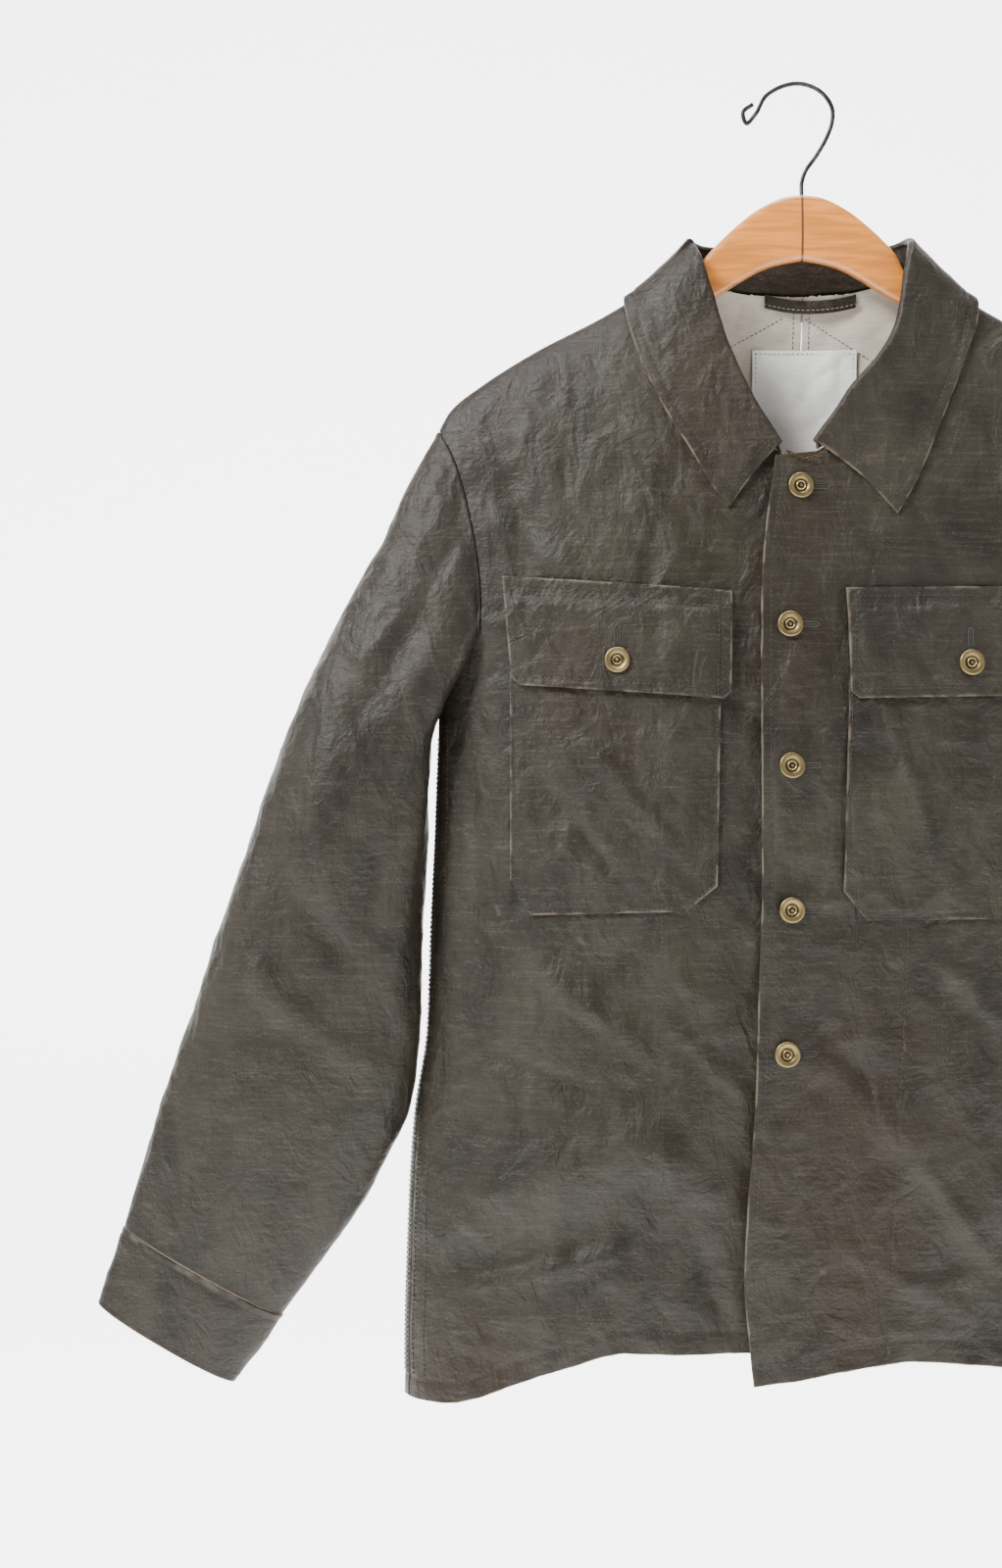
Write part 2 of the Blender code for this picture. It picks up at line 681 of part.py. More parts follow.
def sleeve_grids(side, front, back):
    ring, ring_inside, away = armhole_ring(side, front, back)
    turns = sleeve_turns(ring)
    level = (np.arange(SLEEVE_ROWS + 1) / SLEEVE_ROWS) ** 1.15
    plain = tube_point(side, SLEEVE, level, turns)
    down = level[:, None]
    from_pit = np.abs(turns - math.pi) / math.pi
    eased = away * (PIT_EASE * (1 - ease(from_pit / PIT_SHARE)))[:, None]
    ring, ring_inside = ring + eased, ring_inside + eased
    reach = PIT_REACH + (CAP_REACH - PIT_REACH) * ease(from_pit / 0.5)
    keep = 1 - ease(down / reach)
    room = PIT_ROOM * (1 - ease(from_pit / PIT_SHARE)) * ease(down / 0.05) * keep
    outer = plain + (ring - plain[0]) * keep[..., None] + away * room[..., None]
    hold = ease(down / 0.08) * ease((1 - down) / 0.08)
    lift = sleeve_fold_height(turns[None, :], down) * hold
    outer = outer + tube_normals(side, outer) * lift[..., None]
    inner = outer - tube_normals(side, outer) * WALL
    square = ease(from_pit / 0.12)[:, None]
    inner[0] = ring_inside * square + inner[0] * (1 - square)
    return outer, inner, turns


def cuff_grids(side, turns):
    level = np.linspace(0, 1, CUFF_ROWS + 1)
    outer = tube_point(side, CUFF, level, turns)
    return outer, outer - tube_normals(side, outer) * DOUBLE_WALL


# Collar


def form_at(x, w):
    """Point of the plain form by its place across and its signed root drop, below 0 in front."""
    z = ridge(x) - w * w
    share = np.clip(np.abs(x) / half_width(z), 0, 1) ** SECTION_POWER
    y = np.sign(w) * depth(w * w, w < 0) * (1 - share) ** (1 / SECTION_POWER)
    return np.stack(np.broadcast_arrays(x, y, z), -1)


def form_normal(x, w):
    step = 1e-4
    across = form_at(x + step, w) - form_at(x - step, w)
    along = form_at(x, w + step) - form_at(x, w - step)
    return unit(np.cross(across, along))


def lifted(foot, lift, layer):
    """Point at a height over the cloth under it, which bulges or sinks by itself."""
    x, w = foot
    z = float(ridge(x)) - w * w
    own = float(height(angle_at(x, z, w < 0), z, layer))
    return form_at(x, w) + form_normal(x, w) * (lift + own)


def root_drop(x, z, sign):
    return sign * math.sqrt(max(float(ridge(x)) - z, 0.0))


def collar_section(seam, roll, roll_lift, edge, under, layer):
    """Visible side of the collar from its seam up the stand, over the roll and down the fall."""
    seam, roll, edge = np.array(seam), np.array(roll), np.array(edge)
    reach = np.linalg.norm(lifted(roll, roll_lift, layer) - lifted(seam, 0, layer))
    points = []
    for step in STAND_STEPS:
        t = max(step, COLLAR_GAP / reach)
        foot = seam + (roll - seam) * t
        points.append(lifted(foot, -WALL * (1 - t) + roll_lift * t, layer))
    inwards = unit(form_at(*roll) - form_at(*(roll + 0.2 * (edge - roll))))
    for turn in ROLL_TURNS:
        a = math.radians(turn)
        up = roll_lift + ROLL_RADIUS * (1 - math.cos(a))
        points.append(lifted(roll, up, layer) + inwards * ROLL_RADIUS * math.sin(a))
    clear = DOUBLE_WALL + LOOSE_GAP + under
    for step in FALL_STEPS:
        lift = clear + (roll_lift + 2 * ROLL_RADIUS - clear) * (1 - step) ** 1.5
        points.append(lifted(roll + (edge - roll) * step, lift, layer))
    return points


def collar_grids():
    """Sections from the right front, round the back, to the left front."""
    neck_levels = levels()[-(NECK_ROWS + 1):]
    halves = []
    for side, rows in ((-1, COLLAR_RIGHT), (1, COLLAR_LEFT)):
        name = "left" if side > 0 else "right"
        half = []
        for level in neck_levels:
            at = {key: float(smooth(level, rows["level"], rows[key])) for key in rows}
            seam_x = float(smooth(level, NECKLINE["level"], NECKLINE[name + "_x"]))
            seam_z = float(smooth(level, NECKLINE["level"], NECKLINE[name + "_z"]))
            seam = (seam_x, root_drop(seam_x, seam_z, -1))
            roll = (at["roll_x"], root_drop(at["roll_x"], at["roll_z"], -1))
            edge = (at["edge_x"], root_drop(at["edge_x"], at["edge_z"], -1))
            # The cloth turns sharply at the shoulder, so the fall stands a little off it
            under = SHOULDER_ROOM * float(ease((level - 0.95) / 0.05))
            half.append(collar_section(seam, roll, at["lift"], edge, under, layer_of(side)))
        for share in COLLAR_BACK["share"][1:]:
            at = {key: float(smooth(share, COLLAR_BACK["share"], COLLAR_BACK[key])) for key in COLLAR_BACK}
            seam_z = float(smooth(at["seam_x"], BACK_NECK["x"], BACK_NECK["z"]))
            seam = (side * at["seam_x"], root_drop(at["seam_x"], seam_z, 1))
            roll = (side * at["roll_x"], at["roll_w"])
            edge = (side * at["edge_x"], at["edge_w"])
            under = SHOULDER_ROOM * (1 - float(ease(share)))
            half.append(collar_section(seam, roll, at["lift"], edge, under, "back"))
        halves.append(half)
    visible = np.array(halves[0] + halves[1][-2::-1])
    across = np.gradient(visible, axis=0)
    along = np.gradient(visible, axis=1)
    normal = unit(np.cross(across, along))
    return visible, visible - normal * DOUBLE_WALL


# Meshes


def finish_material(name):
    material = bpy.data.materials.get(name)
    if material is None:
        colour, roughness, metallic = FINISHES[name]
        material = bpy.data.materials.new(name)
        material.use_nodes = True
        shader = material.node_tree.nodes["Principled BSDF"]
        shader.inputs["Base Color"].default_value = (*colour, 1)
        shader.inputs["Roughness"].default_value = roughness
        shader.inputs["Metallic"].default_value = metallic
    return material


def place(name, mesh, finish, rounded=True):
    """Makes the named piece of a bmesh, faces out and smooth across gentle turns."""
    bmesh.ops.recalc_face_normals(mesh, faces=mesh.faces)
    data = bpy.data.meshes.new(name)
    mesh.to_mesh(data)
    mesh.free()
    if rounded:
        data.shade_smooth()
        data.set_sharp_from_angle(angle=math.radians(40))
    data.materials.append(finish_material(finish))
    piece = bpy.data.objects.new(name, data)
    bpy.context.scene.collection.objects.link(piece)
    return piece


def triangles(a, b, c, d):
    return ((a, b, c), (a, c, d))


def wall(outer, inner, closed=False):
    """Closed wall between two grids of points. Columns meet round a tube."""
    rows, columns = outer.shape[:2]
    mesh = bmesh.new()
    verts = [mesh.verts.new(p) for p in np.concatenate([outer, inner]).reshape(-1, 3)]
    last = columns if closed else columns - 1

    def at(row, column, inside=0):
        return verts[(row + inside * rows) * columns + column % columns]

    corners = []
    for r in range(rows - 1):
        for c in range(last):
            for inside in (0, 1):
                low = (at(r, c, inside), at(r, c + 1, inside))
                quad = (*low, at(r + 1, c + 1, inside), at(r + 1, c, inside))
                corners.extend(triangles(*quad))
    for r in (0, rows - 1):
        for c in range(last):
            corners.extend(triangles(at(r, c), at(r, c + 1), at(r, c + 1, 1), at(r, c, 1)))
    if not closed:
        for c in (0, columns - 1):
            for r in range(rows - 1):
                corners.extend(triangles(at(r, c), at(r + 1, c), at(r + 1, c, 1), at(r, c, 1)))
    for corner in corners:
        mesh.faces.new(corner)
    return mesh


def patch(grid):
    """The outside of a panel alone, as the same triangles as its wall."""
    rows, columns = grid.shape[:2]
    mesh = bmesh.new()
    verts = [mesh.verts.new(p) for p in grid.reshape(-1, 3)]
    for r in range(rows - 1):
        for c in range(columns - 1):
            a = r * columns + c
            quad = (verts[a], verts[a + 1], verts[a + columns + 1], verts[a + columns])
            for corner in triangles(*quad):
                mesh.faces.new(corner)
    return mesh


def slice_mesh(mesh, x, z, normal_x, normal_z, drop):
    geometry = mesh.verts[:] + mesh.edges[:] + mesh.faces[:]
    bmesh.ops.bisect_plane(
        mesh,
        geom=geometry,
        dist=1e-6,
        plane_co=(x, 0, z),
        plane_no=(normal_x, 0, normal_z),
        clear_outer=drop,
    )


def laid_on(grid, outline, offset, thickness, creases=()):
    """A patch cut from a panel's own surface inside an outline and moved out from it."""
    mesh = patch(grid)
    for (x0, z0), (x1, z1) in zip(outline, outline[1:] + outline[:1]):
        slice_mesh(mesh, x0, z0, -(z1 - z0), x1 - x0, True)
    for x, z, normal_x, normal_z in creases:
        slice_mesh(mesh, x, z, normal_x, normal_z, False)
    bmesh.ops.triangulate(mesh, faces=mesh.faces)
    base = {vert: vert.co.copy() for vert in mesh.verts}
    rim = [edge for edge in mesh.edges if edge.is_boundary]
    pairs = {}
    for vert, point in base.items():
        away = offset(point.x, point.z)
        vert.co.y = point.y - away
        pairs[vert] = mesh.verts.new((point.x, point.y - away - thickness, point.z))
    faces = [tuple(face.verts) for face in mesh.faces]
    for corners in faces:
        mesh.faces.new([pairs[vert] for vert in corners])
    for edge in rim:
        a, b = edge.verts
        for corner in triangles(a, b, pairs[b], pairs[a]):
            mesh.faces.new(corner)
    return mesh


def surface_tree(mesh):
    mesh.normal_update()
    return BVHTree.FromBMesh(mesh)


# Buttons and small pieces


def turned(centre, axis, radii, heights, nub):
    """A solid of revolution standing on its flat back."""
    mesh = bmesh.new()
    axis = axis.normalized()
    one = axis.orthogonal().normalized()
    two = axis.cross(one)
    rings = []
    for radius, rise in zip(radii, heights):
        ring = []
        for i in range(BUTTON_SIDES):
            a = 2 * math.pi * i / BUTTON_SIDES
            across = one * math.cos(a) + two * math.sin(a)
            ring.append(mesh.verts.new(centre + across * radius + axis * rise))
        rings.append(ring)
    back = mesh.verts.new(centre)
    front = mesh.verts.new(centre + axis * nub)
    for i in range(BUTTON_SIDES):
        j = (i + 1) % BUTTON_SIDES
        mesh.faces.new((back, rings[0][j], rings[0][i]))
        mesh.faces.new((front, rings[-1][i], rings[-1][j]))
        for low, high in zip(rings, rings[1:]):
            for corner in triangles(low[i], low[j], high[j], high[i]):
                mesh.faces.new(corner)
    return mesh


def ray_hit(tree, x, z):
    hit, normal, _, _ = tree.ray_cast(Vector((x, -0.3, z)), Vector((0, 1, 0)))
    return hit, normal


def button(name, tree, x, z):
    """Seats a button on the cloth, clear of every point under its back."""
    radius = float(BUTTON_PROFILE["radius"].max())
    centre, normal = ray_hit(tree, x, z)
    if normal.y > 0:
        normal = -normal
    one = normal.orthogonal().normalized()
    two = normal.cross(one)
    proud = 0.0
    for i in range(SEAT_SPOTS):
        a = 2 * math.pi * i / SEAT_SPOTS
        for reach in (0.5, 1.0):
            spot = centre + (one * math.cos(a) + two * math.sin(a)) * radius * reach
            hit, _ = ray_hit(tree, spot.x, spot.z)
            if hit is not None:
                proud = max(proud, (hit - centre).dot(normal))
    seat = centre + normal * (proud + SEAM_GAP)
    mesh = turned(seat, normal, BUTTON_PROFILE["radius"], BUTTON_PROFILE["height"], BUTTON_NUB)
    return place(name, mesh, "brass")


def back_inside(x, z):
    """Inside face of the back, where it shows in the neck."""
    angle = angle_at(x, z, False)
    point = cloth(angle, z, "back")
    return point - outward(bare, angle, z) * WALL


def label():
    x = np.linspace(*LABEL["x"], LABEL["steps"][0] + 1)[None, :]
    z = np.linspace(*LABEL["z"], LABEL["steps"][1] + 1)[:, None]
    x, z = np.broadcast_arrays(x, z)
    outer = back_inside(x, z) - np.array([0, LOOSE_GAP, 0])
    return place("label", wall(outer, outer - np.array([0, LABEL_THICKNESS, 0])), "label")


def hanging_loop():
    share = np.linspace(-1, 1, 11)
    x = (LOOP_X[0] + LOOP_X[1]) / 2 + (LOOP_X[1] - LOOP_X[0]) / 2 * share
    middle = LOOP_Z - LOOP_SAG * (1 - share**2)
    z = middle[None, :] + np.array([-0.5, 0.0, 0.5])[:, None] * LOOP_HEIGHT
    x, z = np.broadcast_arrays(x, z)
    away = LOOP_SEAT + LOOP_SLACK * (1 - share**2)[None, :, None]
    outer = back_inside(x, z) - np.array([0, 1, 0]) * away
    inner = outer - np.array([0, LOOP_THICKNESS, 0])
    return place("hanging_loop", wall(outer, inner), "canvas")


def curve_through(points, count):
    """Points of a smooth curve through a few of its own."""
    path = np.array(points, float)
    length = np.concatenate([[0], np.cumsum(np.linalg.norm(np.diff(path, axis=0), axis=1))])
    at = np.linspace(0, length[-1], count)
    slope = np.gradient(path, length, axis=0)
    i = np.clip(np.searchsorted(length, at, side="right") - 1, 0, len(length) - 2)
    step = (length[i + 1] - length[i])[:, None]
    t = (at - length[i])[:, None] / step
    start = (1 + 2 * t) * (1 - t) ** 2 * path[i] + t * (1 - t) ** 2 * step * slope[i]
    end = t * t * (3 - 2 * t) * path[i + 1] - t * t * (1 - t) * step * slope[i + 1]
    return start + end


def wire(name, points, radius, finish):
    """A round wire along a smooth path, its ends closed."""
    curve = bpy.data.curves.new(name, "CURVE")
    curve.dimensions = "3D"
    curve.bevel_depth = radius
    curve.bevel_resolution = 2
    curve.use_fill_caps = True
    spline = curve.splines.new("POLY")
    spline.points.add(len(points) - 1)
    for point, place_ in zip(spline.points, points):
        point.co = (*place_, 1)
    curve.materials.append(finish_material(finish))
    piece = bpy.data.objects.new(name, curve)
    bpy.context.scene.collection.objects.link(piece)
    return piece


def collar_chain():
    x, z = CHAIN["x"], CHAIN["z"]
    y = cloth(angle_at(x, z), z, "top")[:, 1] - CHAIN["out"]
    return wire("collar_chain", curve_through(np.stack([x, y, z], -1), CHAIN_POINTS), CHAIN_RADIUS, "brass")


# Hanger


def bar_top(x):
    crown = smooth(np.minimum(np.abs(x - BAR_CENTRE), CROWN_END), CROWN["x"], CROWN["z"])
    dip = NECK_DIP * np.exp(-(((np.abs(x) - NECK_DIP_AT) / NECK_DIP_WIDTH) ** 2))
    arm = ridge(x) - BAR_CLEARANCE - dip
    share = ease((np.abs(x) - CROWN_BLEND[0]) / CROWN_BLEND[1])
    tip = TIP_DROP * ease((np.abs(x) - BAR_END + TIP_LENGTH) / TIP_LENGTH)
    return crown * (1 - share) + arm * share - tip


def hanger_bar():
    """One-piece wooden bar, sawn to shape and rounded over."""
    stations = np.linspace(-BAR_END, BAR_END, BAR_STATIONS)
    top = bar_top(stations)
    under = smooth(np.abs(stations - BAR_CENTRE), BAR_UNDER["x"], BAR_UNDER["z"])
    turn = 2 * math.pi * np.arange(BAR_SIDES) / BAR_SIDES
    middle, half = (top + under) / 2, (top - under) / 2
    mesh = bmesh.new()
    rings = []
    for x, centre, tall in zip(stations, middle, half):
        y, z = BAR_HALF * np.cos(turn), centre + tall * np.sin(turn)
        rings.append([mesh.verts.new((x, across, up)) for across, up in zip(y, z)])
    for low, high in zip(rings, rings[1:]):
        for i in range(BAR_SIDES):
            j = (i + 1) % BAR_SIDES
            for corner in triangles(low[i], low[j], high[j], high[i]):
                mesh.faces.new(corner)
    mesh.faces.new(rings[0])
    mesh.faces.new(rings[-1])
    return place("hanger_bar", mesh, "wood")


def hanger_hook():
    points = [(x, 0.0, z) for x, z in zip(HOOK["x"], HOOK["z"])]
    path = curve_through(points, HOOK_POINTS)
    path[-1] = (HOOK["x"][-1], 0.0, float(bar_top(HOOK["x"][-1])) + SEAM_GAP)
    return wire("hanger_hook", path, WIRE_RADIUS, "steel")


# The jacket


def flap_ramp(outline):
    """How far a flap stands off its front: flat at its seam, then over the pocket's edge."""
    (x0, z0), (x1, z1) = outline[:2]
    slope = (z1 - z0) / (x1 - x0)

    def offset(x, z):
        below = z0 + slope * (x - x0) - z
        ramp = (below - FLAP_SEAM_DEPTH) / (FLAP_RAMP_END - FLAP_SEAM_DEPTH)
        return LOOSE_GAP + (WALL + LOOSE_GAP) * min(max(ramp, 0.0), 1.0)

    normal = (slope, -1.0)
    creases = [(x0, z0 - d, *normal) for d in (FLAP_SEAM_DEPTH, FLAP_RAMP_END)]
    return offset, creases


def jacket():
    trees = {}
    for side, name in ((-1, "right"), (1, "left")):
        front, back = front_grids(side), back_grids(side)
        place("front_" + name, wall(*front), "canvas")
        place("back_" + name, wall(*back), "canvas")
        outer, inner, turns = sleeve_grids(side, front, back)
        place("sleeve_" + name, wall(outer, inner, closed=True), "canvas")
        place("cuff_" + name, wall(*cuff_grids(side, turns), closed=True), "canvas")
        pocket = laid_on(front[0], POCKETS[name], lambda x, z: LOOSE_GAP, WALL)
        place("pocket_" + name, pocket, "canvas")
        offset, creases = flap_ramp(FLAPS[name])
        flap = laid_on(front[0], FLAPS[name], offset, DOUBLE_WALL, creases)
        trees[name] = surface_tree(flap)
        place("pocket_flap_" + name, flap, "canvas")
        button("button_pocket_" + name, trees[name], *POCKET_BUTTONS[name])
        closure = patch(front[0])
        trees["front"] = surface_tree(closure)
        closure.free()
    for number, (x, z) in enumerate(zip(FRONT_BUTTONS["x"], FRONT_BUTTONS["z"]), 1):
        button(f"button_front_{number}", trees["front"], x, z)
    place("collar", wall(*collar_grids()), "canvas")
    label()
    hanging_loop()
    collar_chain()


def main():
    for piece in list(bpy.data.objects):
        bpy.data.objects.remove(piece, do_unlink=True)
    jacket()
    hanger_bar()
    hanger_hook()


main()
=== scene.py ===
"""Looks of a worn waxed-canvas field jacket that hangs, buttoned at the neck, on a wooden hanger.

Metres, +Z up, the front towards -Y, the origin at the highest point inside the hanger's hook.
"left" and "right" are the wearer's, so the left half lies at +X. Each cloth piece is a fine
thin shell on the form of its solid, with its creases, worn edges and stitches added.
"""

import logging
import math
from collections import namedtuple
from dataclasses import dataclass, field
from enum import Enum
from typing import Callable, Iterable, Sequence

import bmesh
import bpy
import numpy as np
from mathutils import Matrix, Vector, noise
from mathutils.bvhtree import BVHTree


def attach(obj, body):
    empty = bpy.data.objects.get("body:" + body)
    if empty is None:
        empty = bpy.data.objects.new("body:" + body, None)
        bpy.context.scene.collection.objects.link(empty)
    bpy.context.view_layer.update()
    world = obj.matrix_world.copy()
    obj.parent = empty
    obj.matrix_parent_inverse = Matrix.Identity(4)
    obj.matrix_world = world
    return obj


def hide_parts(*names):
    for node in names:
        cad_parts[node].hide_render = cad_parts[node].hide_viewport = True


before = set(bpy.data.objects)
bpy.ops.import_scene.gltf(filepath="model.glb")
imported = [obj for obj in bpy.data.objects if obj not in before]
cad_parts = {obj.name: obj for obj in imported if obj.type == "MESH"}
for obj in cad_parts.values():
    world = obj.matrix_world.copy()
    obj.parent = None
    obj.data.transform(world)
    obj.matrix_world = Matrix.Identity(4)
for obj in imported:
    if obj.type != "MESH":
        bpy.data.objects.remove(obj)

Grid = np.ndarray
Table = dict[str, np.ndarray]
Colour = tuple[float, float, float]
Pair = tuple[float, float]

LOG = logging.getLogger("jacket")

# Without a set seed, noise vectors start from the clock and differ from run to run
NOISE_SEED = 7

# Sizes of the pattern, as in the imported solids
WALL = 0.0018
DOUBLE_WALL = 0.0024
SEAM_GAP = 0.0003
LOOSE_GAP = 0.0006
CENTRE_BACK = 0.006
NECK_POINT = 0.078

# Levels up a panel, from the hem at 0 to the shoulder seam at 1
ARMPIT = 0.70
CORNER = 0.80
NECK = 0.82
LEVEL_LENGTH = 0.683

Fold = namedtuple("Fold", "x0 z0 x1 z1 width height")
SleeveFold = namedtuple("SleeveFold", "turn0 level0 turn1 level1 width height")


def table(columns: str, *rows: tuple[float, ...]) -> Table:
    """Named columns of numbers, one row for each station."""
    values = np.array(rows, float)
    return {name: values[:, i] for i, name in enumerate(columns.split())}


RIDGE = table(
    "x z",
    (0.000, -0.095),
    (0.030, -0.101),
    (0.050, -0.110),
    (0.070, -0.1225),
    (0.100, -0.1390),
    (0.139, -0.1620),
    (0.180, -0.1830),
    (0.220, -0.2080),
    (0.241, -0.2250),
    (0.249, -0.2390),
    (0.300, -0.3500),
)
SIDE = table(
    "z half",
    (-0.915, 0.2720),
    (-0.876, 0.2725),
    (-0.770, 0.2695),
    (-0.713, 0.2660),
    (-0.650, 0.2570),
    (-0.580, 0.2545),
    (-0.500, 0.2510),
    (-0.425, 0.2490),
    (-0.350, 0.2680),
    (-0.300, 0.2840),
    (-0.239, 0.3000),
)
LAP_EDGE = table(
    "z x",
    (-0.878, -0.0405),
    (-0.851, -0.0433),
    (-0.808, -0.0465),
    (-0.776, -0.0453),
    (-0.700, -0.0395),
    (-0.612, -0.0363),
    (-0.547, -0.0343),
    (-0.387, -0.0340),
    (-0.329, -0.0318),
    (-0.264, -0.0230),
)
UNDER_EDGE = table("z x", (-0.8585, 0.0060), (-0.2660, 0.0060))
# The neckline on each front, from the closure up to the shoulder
NECKLINE = table(
    "level right_x right_z left_x left_z",
    (0.820, -0.0165, -0.2605, 0.0045, -0.2610),
    (0.860, -0.0340, -0.2490, 0.0260, -0.2470),
    (0.890, -0.0510, -0.2310, 0.0460, -0.2280),
    (0.920, -0.0650, -0.2080, 0.0630, -0.2050),
    (0.950, -0.0755, -0.1810, 0.0755, -0.1790),
    (0.975, -0.0805, -0.1560, 0.0803, -0.1550),
    (1.000, -0.0780, -0.1268, 0.0780, -0.1268),
)
BACK_NECK = table(
    "x z",
    (0.000, -0.1405),
    (0.030, -0.1395),
    (0.055, -0.1355),
    (0.070, -0.1305),
    (0.078, -0.1268),
)
ARMHOLE = table(
    "level front_x front_z back_x back_z",
    (0.70, 0.2485, -0.425, 0.2485, -0.425),
    (0.72, 0.2400, -0.411, 0.2415, -0.411),
    (0.75, 0.2265, -0.392, 0.2310, -0.393),
    (0.78, 0.2190, -0.373, 0.2265, -0.374),
    (0.81, 0.2195, -0.352, 0.2252, -0.353),
    (0.85, 0.2225, -0.325, 0.2262, -0.327),
    (0.90, 0.2285, -0.294, 0.2310, -0.296),
    (0.95, 0.2365, -0.265, 0.2380, -0.266),
    (1.00, 0.2490, -0.239, 0.2490, -0.239),
)
HEM_RIGHT = table(
    "x z",
    (-0.273, -0.9030),
    (-0.240, -0.9000),
    (-0.220, -0.8937),
    (-0.200, -0.8846),
    (-0.161, -0.8700),
    (-0.123, -0.8590),
    (0.0100, -0.8585),
)
HEM_LEFT = table(
    "x z",
    (-0.0465, -0.8790),
    (-0.0080, -0.8740),
    (0.0300, -0.8670),
    (0.0690, -0.8628),
    (0.1070, -0.8660),
    (0.1600, -0.8730),
    (0.2200, -0.8900),
    (0.2730, -0.9030),
)
HEM_BACK = table("x z", (0.0, -0.8850), (0.15, -0.8880), (0.24, -0.8985), (0.273, -0.9030))
BACK_CENTRE = table("level z", (0.0, -0.8850), (0.70, -0.3850), (1.0, -0.1405))

# The collar's roll and outer edge over each front, then from the shoulder to the back
COLLAR_RIGHT = table(
    "level roll_x roll_z lift edge_x edge_z",
    (0.820, -0.0196, -0.2553, 0.001, -0.0543, -0.2985),
    (0.860, -0.0290, -0.2400, 0.001, -0.0680, -0.2775),
    (0.890, -0.0395, -0.2215, 0.001, -0.0800, -0.2570),
    (0.920, -0.0500, -0.1990, 0.001, -0.0935, -0.2350),
    (0.950, -0.0590, -0.1730, 0.002, -0.1065, -0.2080),
    (0.975, -0.0650, -0.1480, 0.005, -0.1155, -0.1830),
    (0.990, -0.0680, -0.1330, 0.009, -0.1190, -0.1680),
    (1.000, -0.0700, -0.1235, 0.011, -0.1205, -0.1560),
)
COLLAR_LEFT = table(
    "level roll_x roll_z lift edge_x edge_z",
    (0.820, 0.0037, -0.2560, 0.001, 0.0583, -0.3030),
    (0.860, 0.0180, -0.2360, 0.001, 0.0680, -0.2870),
    (0.890, 0.0325, -0.2160, 0.001, 0.0765, -0.2700),
    (0.920, 0.0485, -0.1980, 0.001, 0.0870, -0.2460),
    (0.950, 0.0620, -0.1730, 0.002, 0.1000, -0.2150),
    (0.975, 0.0665, -0.1480, 0.005, 0.1120, -0.1860),
    (0.990, 0.0685, -0.1330, 0.009, 0.1180, -0.1690),
    (1.000, 0.0700, -0.1235, 0.011, 0.1205, -0.1560),
)
COLLAR_BACK = table(
    "share seam_x roll_x roll_w lift edge_x edge_w",
    (0.00, 0.0780, 0.0700, -0.032, 0.011, 0.1205, -0.075),
    (0.14, 0.0765, 0.0693, -0.015, 0.0115, 0.1200, -0.040),
    (0.28, 0.0730, 0.0675, 0.005, 0.012, 0.1180, 0.000),
    (0.42, 0.0660, 0.0630, 0.035, 0.012, 0.1140, 0.045),
    (0.58, 0.0520, 0.0530, 0.070, 0.012, 0.1030, 0.105),
    (0.75, 0.0330, 0.0370, 0.102, 0.011, 0.0800, 0.170),
    (0.90, 0.0130, 0.0150, 0.125, 0.010, 0.0380, 0.232),
    (1.00, 0.0000, 0.0000, 0.130, 0.010, 0.0000, 0.250),
)
# The sleeve's outer and inner edges seen from the front, from the armhole to the cuff
SLEEVE = table(
    "level outer_x outer_z inner_x inner_z half y",
    (0.00, 0.2495, -0.239, 0.2500, -0.426, 0.030, -0.002),
    (0.08, 0.2630, -0.263, 0.2535, -0.443, 0.034, -0.003),
    (0.20, 0.2890, -0.318, 0.2560, -0.474, 0.038, -0.004),
    (0.34, 0.3260, -0.388, 0.2570, -0.518, 0.040, -0.005),
    (0.48, 0.3580, -0.463, 0.2590, -0.570, 0.039, -0.006),
    (0.62, 0.3880, -0.550, 0.2610, -0.632, 0.036, -0.007),
    (0.76, 0.4180, -0.640, 0.2680, -0.700, 0.031, -0.008),
    (0.88, 0.4400, -0.707, 0.2940, -0.757, 0.025, -0.009),
    (1.00, 0.4640, -0.785, 0.3555, -0.846, 0.017, -0.010),
)
SLEEVE_POWER = 2.3
SLEEVE_LENGTH = 0.56
SLEEVE_ARC = 0.055
# How far down the sleeve the armhole's own shape reaches, at the shoulder and under the arm
CAP_REACH = 0.45
PIT_REACH = 0.11
# How far the sleeve is eased away from the panels there, over a share of the way round
PIT_SHARE = 0.38
PIT_ROOM = 0.010
PIT_EASE = 0.0038
CUFF = table(
    "level outer_x outer_z inner_x inner_z half y",
    (0.0, 0.4645, -0.7860, 0.3552, -0.8468, 0.0176, -0.010),
    (0.5, 0.4735, -0.8120, 0.3715, -0.8700, 0.0165, -0.010),
    (1.0, 0.4820, -0.8385, 0.3890, -0.8925, 0.0155, -0.010),
)

FRONT_FOLDS = (
    Fold(-0.091, -0.300, -0.042, -0.352, 0.010, -0.0030),
    Fold(-0.204, -0.262, -0.186, -0.335, 0.011, -0.0035),
    Fold(-0.100, -0.600, -0.049, -0.645, 0.016, 0.0035),
    Fold(-0.100, -0.715, -0.245, -0.775, 0.022, 0.0055),
    Fold(-0.110, -0.765, -0.250, -0.815, 0.020, -0.0045),
    Fold(-0.130, -0.710, -0.046, -0.765, 0.018, 0.0040),
    Fold(-0.235, -0.440, -0.222, -0.640, 0.014, -0.0040),
    Fold(0.083, -0.570, 0.110, -0.660, 0.018, -0.0040),
    Fold(0.040, -0.690, 0.095, -0.745, 0.018, 0.0045),
    Fold(0.015, -0.600, 0.035, -0.700, 0.016, -0.0030),
    Fold(0.110, -0.740, 0.240, -0.800, 0.022, 0.0055),
    Fold(0.130, -0.650, 0.225, -0.735, 0.020, -0.0045),
    Fold(0.204, -0.262, 0.186, -0.335, 0.011, -0.0035),
    Fold(0.235, -0.440, 0.224, -0.620, 0.014, -0.0040),
)
